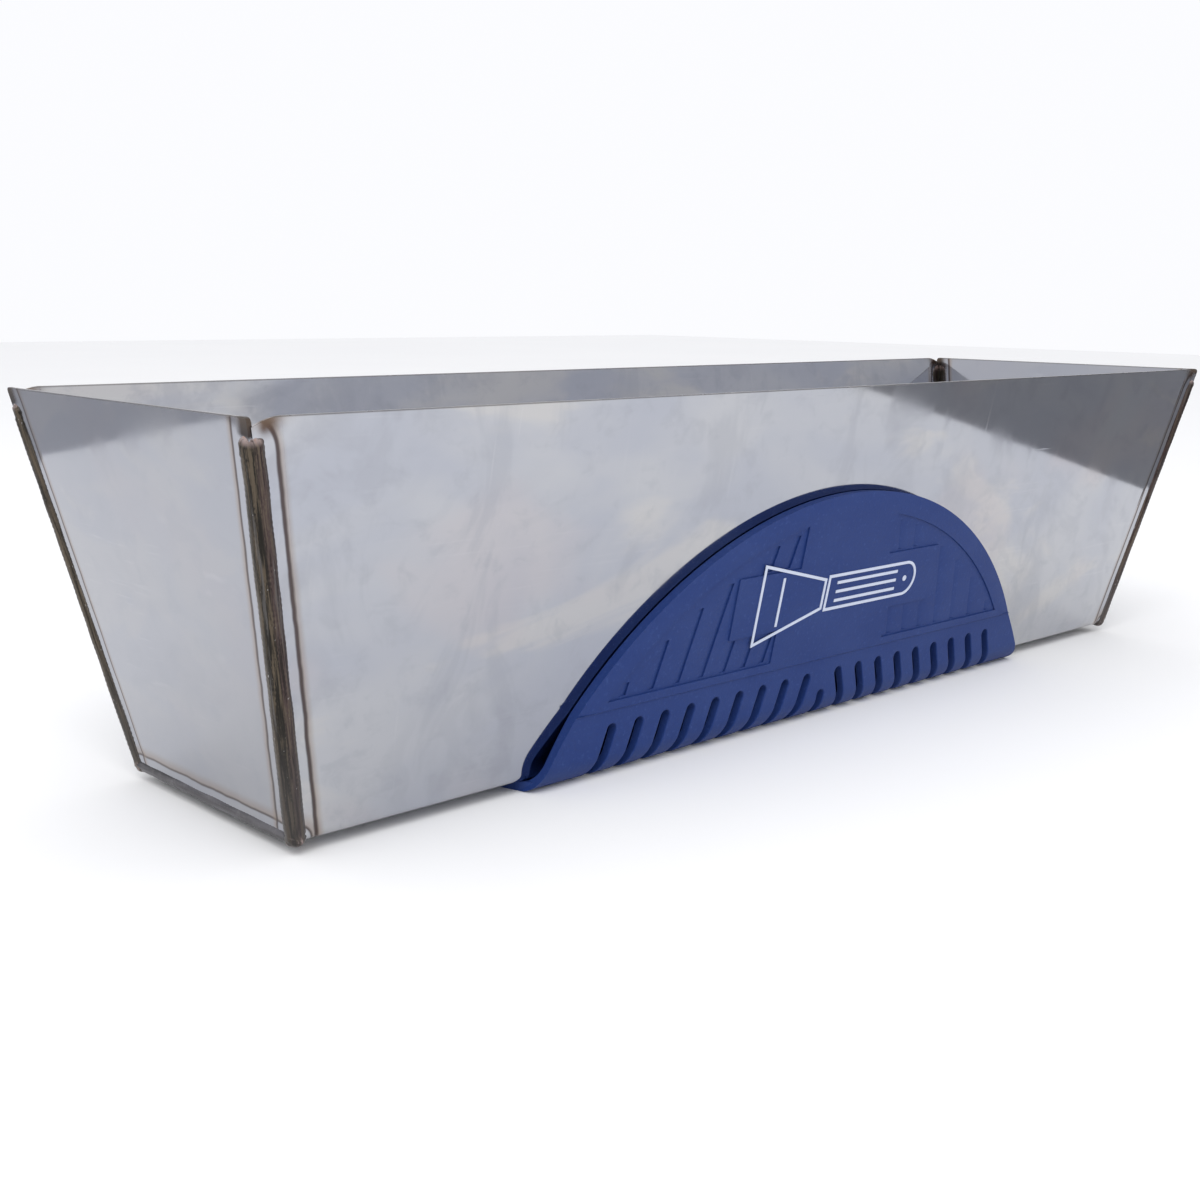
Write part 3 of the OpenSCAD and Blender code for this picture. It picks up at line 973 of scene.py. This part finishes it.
class MUDPAN_OT_end_plates(bpy.types.Operator):
    """Cuts the two end plates"""

    bl_idname = "mudpan.end_plates"
    bl_label = "Cut the end plates"

    def execute(self, context):
        pan = settings("pan")
        weld = settings("weld")
        middle_z = (pan.rim_z + pan.floor_z) / 2
        leave_edit()
        bpy.ops.mesh.primitive_plane_add(
            size=1, location=(end_x(middle_z), 0, middle_z), rotation=(0, math.pi / 2 + end_lean(), 0)
        )
        bpy.context.object.scale = ((pan.rim_z - pan.floor_z) * 1.2, pan.rim_width * 1.2, 1)
        piece = take("right_plate")
        leave_edit()
        modify(piece, "SOLIDIFY", thickness=pan.sheet, offset=-1.0, use_even_offset=True)
        edit(piece)
        cut((0, 0, pan.floor_z), (0, 0, -1), outer=True, fill=True)
        cut((0, 0, pan.rim_z), (0, 0, 1), outer=True, fill=True)
        for side in (FRONT, BACK):
            foot = Vector((0, side * pan.floor_width / 2, pan.floor_z))
            cut(foot, wall_normal(side), outer=True, fill=True)
        pick("edges", lambda e: abs(e.verts[0].co.x - e.verts[1].co.x) < 2 * pan.sheet
             and abs(e.verts[0].co.y - e.verts[1].co.y) < 0.5 * MM
             and middle(e).z < pan.floor_z + 1 * MM)
        round_edges(pan.fold_radius, 6)
        self.sink_welds(end_normal(RIGHT), weld)
        finish_mesh(piece, 35)
        edit(piece)
        pick("edges", lambda e: all(v.co.z > pan.rim_z - 1.5 * pan.sheet for v in e.verts)
             and abs(e.verts[0].co.y - e.verts[1].co.y) < 0.5 * MM
             and abs(middle(e).y) > wall_y(pan.rim_z) - 1.5 * pan.sheet)
        round_edges(pan.burnt_corner, 3)
        low = pan.rim_z - NEAR
        pick("edges", lambda e: e.is_manifold and all(v.co.z > low for v in e.verts)
             and e.calc_face_angle(0) > SHEARED)
        round_edges(pan.edge_round, 2)
        finish_mesh(piece, 35)
        left = mirrored(piece, "left_plate", 0)
        steel = sheet_steel("end_steel", True)
        dress(piece, "end_steel", steel, "right_end_plate")
        dress(left, "end_steel", steel, "left_end_plate")
        return {"FINISHED"}

    def sink_welds(self, outward, weld):
        """Draws the plate in a little beside its three welds."""
        pan = settings("pan")
        origin = seam_point(pan.floor_z, 0)
        seams = [(Vector((-math.sin(end_lean()), 0, -math.cos(end_lean()))), origin)]
        seams += [seam_line(Vector((1, side, 1)), outward, 1) for side in (FRONT, BACK)]
        for across, point in seams:
            for distance in flank_steps():
                cut(point - across * distance, across)
        for across, point in seams:
            line = point - across * pan.flank_middle
            others = [seam for seam in seams if seam[0] is not across]
            pick("verts", lambda v: abs((v.co - line).dot(across)) < ON_FLANK
                 and abs((v.co - origin).dot(outward)) < 0.1 * MM
                 and v.co.z < pan.rim_z - weld.start
                 and all((v.co - o[1] + o[0] * pan.flank_middle).dot(o[0]) < 0.04 * MM for o in others))
            shift(-outward * pan.flank_depth)


# ---------------------------------------------------------------- welds


def draw_bead(name, start, end, radius, round_ends):
    """Draws a bead ring by ring along a line, then ripples it and lumps its ends."""
    weld = settings("weld")
    run = end - start
    steps = max(8, round(run.length / weld.ring_step))
    turn = run.to_track_quat("Z", "Y").to_matrix().to_4x4()
    leave_edit()
    bpy.ops.mesh.primitive_circle_add(vertices=36, radius=radius, fill_type="NOTHING")
    piece = take(name)
    pick_all()
    for _ in range(steps):
        extrude((0, 0, run.length / steps))
    levels = [run.length, 0.0]
    for level, way in ((run.length, 1), (0.0, -1)):
        pick("verts", lambda v: abs(v.co.z - level) < ON_LINE)
        if not round_ends:
            bpy.ops.mesh.edge_face_add()
            continue
        turns = 7
        for i in range(1, turns):
            near, far = math.radians(90 * (i - 1) / turns), math.radians(90 * i / turns)
            extrude((0, 0, way * radius * (math.sin(far) - math.sin(near))))
            factor = math.cos(far) / math.cos(near)
            bpy.ops.transform.resize(value=(factor, factor, 1), center_override=(0, 0, 0))
        bpy.ops.mesh.edge_face_add()
    leave_edit()
    for vert in piece.data.vertices:
        shape_bead_point(vert, levels, start)
    piece.data.transform(Matrix.Translation(start) @ turn)
    return finish_mesh(piece, 60)


def shape_bead_point(vert, levels, seed):
    """Moves one point of an upright bead: ripples, a slow wander, and lumps near both ends."""
    weld = settings("weld")
    out = Vector((vert.co.x, vert.co.y, 0))
    if out.length < 0.2 * MM:
        return
    around = out.normalized()
    bend = abs(around.x) * 0.35 * MM
    ripple = math.sin(2 * math.pi * (vert.co.z + bend) / weld.ripple_pitch) * weld.ripple_height
    drift = Vector((around.x * 0.6, around.y * 0.6, vert.co.z / (6 * MM)))
    slow = noise.noise(drift + seed * 50) * weld.wander
    near = min(abs(vert.co.z - level) for level in levels)
    fading = max(0.0, 1 - near / (3.0 * MM))
    lump = noise.noise(Vector(vert.co) / (1.3 * MM) + seed * 90) * weld.crater * fading
    vert.co += around * (ripple + slow + lump)


class MUDPAN_OT_welds(bpy.types.Operator):
    """Lays the six weld beads"""

    bl_idname = "mudpan.welds"
    bl_label = "Lay the welds"

    def execute(self, context):
        pan = settings("pan")
        weld = settings("weld")
        metal = weld_metal("weld_metal")
        dull = floor_weld_metal("floor_weld_metal")
        low = seam_point(pan.floor_z + weld.inset, weld.inset)
        high = seam_point(pan.rim_z - weld.start, weld.inset)
        sides = {FRONT: "front", BACK: "back"}
        for end, end_name in ((LEFT, "left"), (RIGHT, "right")):
            for side, side_name in sides.items():
                turn = Vector((end, side, 1))
                name = f"{end_name}_{side_name}_bead"
                bead = draw_bead(name, low * turn, high * turn, weld.radius, True)
                self.keep_outside(bead)
                dress(bead, "weld_metal", metal, f"{end_name}_{side_name}_weld")
            first = low * Vector((end, FRONT, 1))
            last = low * Vector((end, BACK, 1))
            bead = draw_bead(f"{end_name}_bottom_bead", first, last, weld.floor_radius, False)
            self.keep_outside(bead)
            dress(bead, "weld_metal", dull, f"{end_name}_bottom_weld")
        return {"FINISHED"}

    def keep_outside(self, bead):
        """Trims a bead flush with the inside of the pan."""
        tool = hollow_tool()
        carve(bead, tool)
        finish_mesh(bead, 50)


def hollow_tool():
    """The pan's hollow as a solid, for trimming what shows inside."""
    pan = settings("pan")
    lean = side_lean()
    leave_edit()
    bpy.ops.mesh.primitive_cube_add(size=1, location=(0, 0, (pan.floor_z + pan.rim_z) / 2))
    tool = take("hollow")
    leave_edit()
    for vert in tool.data.vertices:
        z = pan.rim_z + 5 * MM if vert.co.z > 0 else pan.floor_z + pan.sheet
        x = end_x(z) - pan.sheet / math.cos(end_lean())
        y = wall_y(z) - pan.sheet / math.cos(lean)
        vert.co = Vector((math.copysign(x, vert.co.x), math.copysign(y, vert.co.y), z))
    edit(tool)
    pick("edges", lambda e: all(v.co.z < pan.floor_z + 2 * pan.sheet for v in e.verts)
         and abs(e.verts[0].co.x - e.verts[1].co.x) > 50 * MM)
    round_edges(pan.fold_radius - pan.sheet, 5)
    leave_edit()
    return tool


# ---------------------------------------------------------------- grip


def turn_centre():
    """[y, z] of the centre of the grip's turn under the back wall."""
    grip = settings("grip")
    z = grip.floor + grip.turn_radius
    return Vector((wall_y(z) + (grip.stand_off - grip.turn_radius) / math.cos(side_lean()), z))


def touch_angle(point, centre, radius):
    """Angle from the centre to where a line from the point touches the circle, on its outer side."""
    to_point = point - centre
    return math.atan2(to_point.y, to_point.x) - math.acos(radius / to_point.length)


def skin(name, above, below, radius, bottom):
    """One face of the grip as a strip: flat floor, two turns, two skirts and two walls."""
    grip = settings("grip")
    pan = settings("pan")
    centre = turn_centre()
    start = wall_point(grip.ridge_height, below)
    reach = touch_angle(start, centre, radius)
    touch = centre + radius * Vector((math.cos(reach), math.sin(reach)))
    ridge = wall_point(grip.ridge_height + RIDGE_STEP, above)
    stops = [touch, start, ridge, wall_point(pan.rim_z * 0.8, above)]
    leave_edit()
    bpy.ops.mesh.primitive_plane_add(size=1, location=(0, 0, bottom))
    piece = take(name)
    pick_all()
    bpy.ops.transform.resize(value=(2.2 * grip.reach, 2 * centre.x, 1))
    for side in (FRONT, BACK):
        pick("edges", lambda e: all(v.co.y * side > centre.x - ON_LINE for v in e.verts))
        bpy.ops.mesh.spin(
            steps=14,
            angle=-side * (math.pi / 2 + reach),
            center=(0, side * centre.x, centre.y),
            axis=(1, 0, 0),
        )
        for here, there in zip(stops, stops[1:]):
            if (there - here).length > ON_LINE:
                extrude((0, side * (there.x - here.x), there.y - here.y))
    leave_edit()
    return piece


def arch_circle():
    """Radius and centre height of the arch."""
    grip = settings("grip")
    radius = (grip.turn_reach**2 + grip.arch_height**2) / (2 * grip.arch_height)
    return radius, settings("pan").floor_z + grip.arch_height - radius


def upright_disc(name, radius, height):
    """A wide disc with its axis along Y, which gives an arch on both walls at once."""
    leave_edit()
    bpy.ops.mesh.primitive_cylinder_add(
        vertices=ARCH_STEPS,
        radius=radius,
        depth=2 * settings("pan").rim_width,
        location=(0, 0, height),
        rotation=(math.pi / 2, 0, 0),
    )
    disc = take(name)
    leave_edit()
    return disc


def wall_block(name, along, out, up):
    """A block on the back wall, given by its low and high sides along, out from and up the wall."""
    sides = (along, out, up)
    size = [high - low for low, high in sides]
    piece = block(name, size, [(high + low) / 2 for low, high in sides])
    leave_edit()
    on_back_wall(piece)
    return piece


def on_back_wall(piece):
    """Moves a piece from wall coordinates (along, outwards, up) to the back wall."""
    pan = settings("pan")
    place = Matrix.Translation((0, pan.floor_width / 2, pan.floor_z))
    piece.data.transform(place @ Matrix.Rotation(-side_lean(), 4, "X"))


def slot_cutter():
    """A slot's cutter in wall coordinates: its round top at the origin, running down and outwards."""
    grip = settings("grip")
    depth = grip.slot_run + grip.stand_off + grip.wall + 4 * MM
    run = grip.slot_height + grip.floor + 8 * MM
    cutter = block("slot", (grip.slot_width, depth, run), (0, depth / 2 - grip.slot_run, -run / 2))
    pick("edges", lambda e: all(v.co.z > -ON_LINE for v in e.verts)
         and abs(e.verts[0].co.y - e.verts[1].co.y) > 1 * MM)
    round_edges(grip.slot_width * 0.4999, 10)
    return finish_mesh(cutter)


class MUDPAN_OT_grip(bpy.types.Operator):
    """Moulds the slotted grip round the trough"""

    bl_idname = "mudpan.grip"
    bl_label = "Mould the grip"

    def execute(self, context):
        grip = settings("grip")
        outer_turn = grip.turn_radius + grip.floor
        outer = skin("grip_mat", grip.bond + grip.wall, grip.bond + grip.skirt, outer_turn, 0.0)
        inner = skin("grip_inner", grip.bond, grip.bond, grip.turn_radius, grip.floor)
        piece = join([outer, inner], "grip_mat")
        edit(piece)
        pick("edges", lambda e: e.is_boundary)
        bpy.ops.mesh.bridge_edge_loops()
        finish_mesh(piece)
        carve(piece, self.outline_tool(), "INTERSECT")
        finish_mesh(piece)
        carve_both(piece, self.border_cutter())
        self.round_outline(piece)
        grooves = join(self.groove_cutters(), "grooves")
        on_back_wall(grooves)
        slots = join(self.slot_cutters(), "slots")
        on_back_wall(slots)
        carve_both(piece, self.panel_cutter())
        carve_both(piece, slots)
        self.round_slots(piece)
        carve_both(piece, grooves)
        edit(piece)
        pick_all()
        bpy.ops.mesh.quads_convert_to_tris(ngon_method="BEAUTY")
        finish_mesh(piece, 40)
        dress(piece, "grip_plastic", grip_plastic("grip_plastic"), "grip")
        return {"FINISHED"}

    def outline_tool(self):
        """What the grip keeps: the arch on the walls and the rounder outline under the floor."""
        grip = settings("grip")
        pan = settings("pan")
        radius, height = arch_circle()
        arch = upright_disc("arch", radius, height)
        low = -5 * MM
        leave_edit()
        bpy.ops.mesh.primitive_cylinder_add(
            vertices=ARCH_STEPS,
            radius=grip.reach,
            depth=pan.floor_z - low,
            location=(0, 0, (pan.floor_z + low) / 2),
        )
        disc = take("disc")
        carve(arch, disc, "UNION")
        return arch

    def border_cutter(self):
        """What is cut from the back wall's face to let the band along the arch fall towards its edge."""
        grip = settings("grip")
        radius, height = arch_circle()
        level = grip.bond + grip.wall
        spare = 3 * MM
        width = grip.border + spare
        leave_edit()
        bpy.ops.mesh.primitive_plane_add(size=1, rotation=(0, math.pi / 2, 0))
        bpy.context.object.scale = (width, spare, 1)
        cutter = take("border")
        pick_all()
        bpy.ops.mesh.delete(type="ONLY_FACE")
        pick("edges", lambda e: all(v.co.y < 0 for v in e.verts))
        bpy.ops.mesh.subdivide(number_cuts=BORDER_CUTS)
        leave_edit()
        for vert in cutter.data.vertices:
            inside = min(max((width / 2 - spare - vert.co.z) / grip.border, 0), 1)
            if vert.co.y < 0:
                vert.co.y = level - grip.border_drop * (1 - inside) ** 2
            else:
                vert.co.y = level + spare
            vert.co.z += radius + spare - width / 2 + height
        edit(cutter)
        pick_all()
        bpy.ops.mesh.spin(steps=ARCH_STEPS, angle=2 * math.pi, center=(0, 0, height), axis=(0, 1, 0))
        leave_edit()
        for vert in cutter.data.vertices:
            vert.co.y = wall_y(vert.co.z) + vert.co.y / math.cos(side_lean())
        finish_mesh(cutter)
        edit(cutter)
        lean = side_lean()
        ridge = wall_point(grip.ridge_height + RIDGE_STEP, 0)
        cut((0, ridge.x, ridge.y), (0, -math.sin(lean), -math.cos(lean)), outer=True, fill=True)
        return finish_mesh(cutter)

    def round_outline(self, piece):
        """Rounds the outer edge of the outline."""
        grip = settings("grip")
        radius, height = arch_circle()
        floor_z = settings("pan").floor_z
        skin_gap = grip.bond + grip.floor * 0.6

        def on_outline(point):
            if point.z > floor_z + ON_LINE:
                return abs(math.hypot(point.x, point.z - height) - radius) < NEAR
            return abs(math.hypot(point.x, point.y) - grip.reach) < NEAR

        def outside(point):
            if point.z > floor_z + 3 * MM:
                return (abs(point.y) - wall_y(point.z)) * math.cos(side_lean()) > skin_gap
            return point.z < NEAR or abs(point.y) > turn_centre().x + 3 * MM

        edit(piece)
        pick("edges", lambda e: e.is_manifold and all(on_outline(v.co) for v in e.verts)
             and e.calc_face_angle(0) > MOULDED and outside(middle(e)))
        round_edges(grip.edge_round, 3, clamp=True)
        leave_edit()

    def round_slots(self, piece):
        """Rounds the slots' edges on the outer skin."""
        grip = settings("grip")
        radius, height = arch_circle()
        centre = turn_centre()
        top = wall_point(grip.slot_height + 0.3 * MM, 0).y
        skin_radius = grip.turn_radius + grip.floor * 0.7

        def outside(point):
            if abs(point.y) < centre.x:
                return point.z < 0.3 * grip.floor
            if point.z < centre.y:
                return math.hypot(abs(point.y) - centre.x, point.z - centre.y) > skin_radius
            out = (abs(point.y) - wall_y(point.z)) * math.cos(side_lean())
            return out > grip.bond + grip.skirt - 0.1 * MM

        def clear_of_outline(point):
            return (math.hypot(point.x, point.z - height) < radius - 2 * grip.edge_round
                    and math.hypot(point.x, point.y) < grip.reach - 2 * grip.edge_round)

        edit(piece)
        pick("edges", lambda e: e.is_manifold and middle(e).z < top and outside(middle(e))
             and clear_of_outline(middle(e)) and e.calc_face_angle(0) > MOULDED)
        round_edges(grip.slot_round, 2, clamp=True)
        finish_mesh(piece)

    def panel_cutter(self):
        """What is cut from the back wall's face to leave the smooth field standing."""
        grip = settings("grip")
        radius, height = arch_circle()
        level = grip.bond + grip.wall
        panel = upright_disc("panel", radius - grip.border - PANEL_RING, height)
        keep = wall_block("keep", (-grip.reach, grip.reach), (level - grip.panel_depth, level + 2 * MM),
                          (grip.panel_floor, settings("pan").rim_z))
        carve(panel, keep, "INTERSECT")
        half = grip.bar_half
        arms = wall_block("bar", (-half, half), (0, level + OVERCUT), (grip.bar_low, grip.bar_high))
        carve(panel, arms)
        middle_up = (grip.bar_low + grip.bar_high) / 2
        for name, half, low, high in (
            ("low_stem", grip.stem_low, 1 * MM, middle_up - 1 * MM),
            ("high_stem", grip.stem_high, middle_up + 1 * MM, settings("pan").rim_z + 8 * MM),
        ):
            carve(panel, wall_block(name, (-half, half), (0, level + OVERCUT), (low, high)))
        return panel

    def groove_cutters(self):
        """The leaning wedge-shaped grooves of the back wall's panels."""
        grip = settings("grip")
        grooves = []
        for way in (LEFT, RIGHT):
            for i in range(GROOVES):
                x = grip.first_groove + grip.groove_pitch * i + grip.groove_growth * i * (i - 1) / 2
                grooves.append(self.groove(way, x, grip.panel_floor + GROOVE_LIFT, self.groove_top(x)))
            for i in range(HIGH_GROOVES):
                x = grip.high_groove + grip.groove_pitch * i
                grooves.append(self.groove(way, x, grip.bar_high + GROOVE_LIFT, self.arch_limit(x)))
        return grooves

    def slope(self):
        return math.tan(settings("grip").groove_lean)

    def arch_limit(self, x):
        """Height up the wall at which a point x along meets the inner edge of the border."""
        grip = settings("grip")
        radius, height = arch_circle()
        inner = radius - grip.border - GROOVE_CLEAR
        z = math.sqrt(max(inner**2 - x**2, 0)) + height
        return (z - settings("pan").floor_z) / math.cos(side_lean())

    def groove_top(self, x):
        """Where a groove that starts at x stops: under the field's arm, or short of the border."""
        grip = settings("grip")
        if x - (grip.bar_high - grip.panel_floor) * self.slope() < grip.bar_half + GROOVE_CLEAR:
            return grip.bar_low - GROOVE_GAP
        return self.arch_limit(x)

    def groove(self, way, x, low, high):
        """One groove: a wedge that is deepest along its inner side."""
        grip = settings("grip")
        level = grip.bond + grip.wall - grip.panel_depth
        size = (grip.groove_width, grip.groove_depth * 2, max(high - low, 1 * MM))
        wedge = block("groove", size, (0, level, (low + high) / 2))
        pick("verts", lambda v: v.co.x * way > 0 and v.co.y < level)
        shift((0, grip.groove_depth * 1.05, 0))
        leave_edit()
        for vert in wedge.data.vertices:
            vert.co.x += way * (x - (vert.co.z - low) * self.slope())
        return wedge

    def slot_cutters(self):
        """All the slots of the back wall."""
        grip = settings("grip")
        radius, height = arch_circle()
        reach = math.sqrt(radius**2 - (settings("pan").floor_z + grip.slot_height - height) ** 2)
        count = math.floor((reach - grip.slot_margin - grip.first_slot) / grip.slot_pitch) + 1
        cutter = slot_cutter()
        places = [(0, grip.middle_slot, 0)]
        for way in (LEFT, RIGHT):
            for i in range(count):
                x = way * (grip.first_slot + i * grip.slot_pitch)
                places.append((x, grip.slot_height, way * grip.slot_lean))
        slots = []
        for x, top, lean in places:
            slot = copy_piece(cutter, "slot")
            slot.data.transform(Matrix.Translation((x, 0, top)) @ Matrix.Rotation(-lean, 4, "Y"))
            slots.append(slot)
        bpy.data.objects.remove(cutter)
        return slots


class MUDPAN_OT_print(bpy.types.Operator):
    """Prints the mark and lays the adhesive"""

    bl_idname = "mudpan.print"
    bl_label = "Print and bond"

    def execute(self, context):
        ink = printed_ink("printed_ink")
        adhesive = adhesive_layer("adhesive_layer")
        finishes = {
            "printed_mark": ink,
            "front_adhesive_pad": adhesive,
            "bottom_adhesive_pad": adhesive,
            "back_adhesive_pad": adhesive,
        }
        for name, material in finishes.items():
            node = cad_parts[name]
            node.data.materials.clear()
            node.data.materials.append(material)
        return {"FINISHED"}


# ---------------------------------------------------------------- stage


def pale_floor(name):
    """Pale matte floor with a faint mottle."""
    looks = settings("looks")
    paint = Paint(name, roughness=0.9, specular_ior_level=0.1)
    cloud = paint.noise(paint.place(), 3.0, 3.0, 0.5)
    paint.feed("Base Color", paint.mix(cloud, looks.floor, looks.floor_light))
    return paint.material


class MUDPAN_OT_stage(bpy.types.Operator):
    """Sets the floor, the light and the camera"""

    bl_idname = "mudpan.stage"
    bl_label = "Set the stage"

    def execute(self, context):
        stage = settings("stage")
        scene = context.scene
        scene.view_settings.view_transform = "Standard"
        leave_edit()
        bpy.ops.mesh.primitive_plane_add(size=stage.floor_size)
        floor = bpy.context.object
        floor.name = "floor"
        floor.data.materials.append(pale_floor("pale_floor"))
        self.light_world(scene)
        self.add_key_light()
        if stage.cards:
            self.add_cards()
        self.add_camera(scene)
        return {"FINISHED"}

    def light_world(self, scene):
        """Even, slightly cool white light from all round."""
        stage = settings("stage")
        world = bpy.data.worlds.new("studio")
        world.use_nodes = True
        inputs = world.node_tree.nodes["Background"].inputs
        inputs["Color"].default_value = (*settings("looks").studio, 1.0)
        inputs["Strength"].default_value = stage.world_light
        scene.world = world

    def add_key_light(self):
        """A large soft light above and to the left."""
        stage = settings("stage")
        data = bpy.data.lights.new("key", "AREA")
        data.shape = "RECTANGLE"
        data.size, data.size_y = KEY_SIZE
        data.energy = stage.key_light
        key = bpy.data.objects.new("key", data)
        bpy.context.scene.collection.objects.link(key)
        key.location = KEY_PLACE
        key.visible_glossy = False
        key.rotation_mode = "QUATERNION"
        key.rotation_quaternion = key.location.to_track_quat("Z", "Y")

    def add_cards(self):
        """Grey cards standing beside the pan, seen only in the steel."""
        for name, first, last, height, (low_tone, high_tone) in CARDS:
            card = Paint(name, roughness=0.95)
            tone = card.ramp(card.axes()[2], 0.05, height * 0.6, low_tone, high_tone)
            tint = {0: tone, 1: tone * 1.01, 2: tone * 1.06}
            card.feed("Base Color", card.node("ShaderNodeCombineColor", None, tint))
            leave_edit()
            bpy.ops.mesh.primitive_plane_add(size=1)
            sheet = take(name)
            leave_edit()
            for vert in sheet.data.vertices:
                foot = first if vert.co.x < 0 else last
                vert.co = Vector((*foot, 1 * MM if vert.co.y < 0 else height))
            sheet.data.materials.append(card.material)
            sheet.visible_camera = False
            sheet.visible_shadow = False
            sheet.visible_diffuse = False

    def add_camera(self, scene):
        """The camera, placed by its turn, height and distance from its aim."""
        stage = settings("stage")
        data = bpy.data.cameras.new("camera")
        data.sensor_width = 36.0
        data.lens = stage.lens
        camera = bpy.data.objects.new("camera", data)
        scene.collection.objects.link(camera)
        back = Vector((
            math.sin(stage.azimuth) * math.cos(stage.elevation),
            -math.cos(stage.azimuth) * math.cos(stage.elevation),
            math.sin(stage.elevation),
        ))
        camera.rotation_mode = "QUATERNION"
        camera.location = Vector((stage.aim_x, stage.aim_y, stage.aim_z)) + back * stage.distance
        look = (-back).to_track_quat("-Z", "Y")
        camera.rotation_quaternion = Matrix.Rotation(stage.roll, 3, back).to_quaternion() @ look
        data.clip_start = 0.01
        data.clip_end = 50.0
        scene.camera = camera


# ---------------------------------------------------------------- add-on


OPERATORS = (
    MUDPAN_OT_trough,
    MUDPAN_OT_end_plates,
    MUDPAN_OT_welds,
    MUDPAN_OT_grip,
    MUDPAN_OT_print,
    MUDPAN_OT_stage,
)


class MUDPAN_PT_panel(bpy.types.Panel):
    """Lists the steps in the order that they are done"""

    bl_idname = "MUDPAN_PT_panel"
    bl_label = "Mud Pan"
    bl_space_type = "VIEW_3D"
    bl_region_type = "UI"
    bl_category = "Mud Pan"

    def draw(self, context):
        for operator in OPERATORS:
            self.layout.operator(operator.bl_idname)
        for group in GROUPS:
            box = self.layout.box()
            values = getattr(context.scene, pointer_name(group))
            for name in group.__annotations__:
                box.prop(values, name)


def register():
    """Registers the classes and the scene's settings."""
    for group in GROUPS:
        bpy.utils.register_class(group)
        setattr(bpy.types.Scene, pointer_name(group), bpy.props.PointerProperty(type=group))
    for operator in OPERATORS:
        bpy.utils.register_class(operator)
    bpy.utils.register_class(MUDPAN_PT_panel)


def unregister():
    """Takes everything that register() added out again."""
    bpy.utils.unregister_class(MUDPAN_PT_panel)
    for operator in reversed(OPERATORS):
        bpy.utils.unregister_class(operator)
    for group in reversed(GROUPS):
        delattr(bpy.types.Scene, pointer_name(group))
        bpy.utils.unregister_class(group)


def main():
    """Builds the pan on its frame."""
    register()
    for operator in OPERATORS:
        group, name = operator.bl_idname.split(".")
        getattr(getattr(bpy.ops, group), name)()


if __name__ == "__main__":
    main()
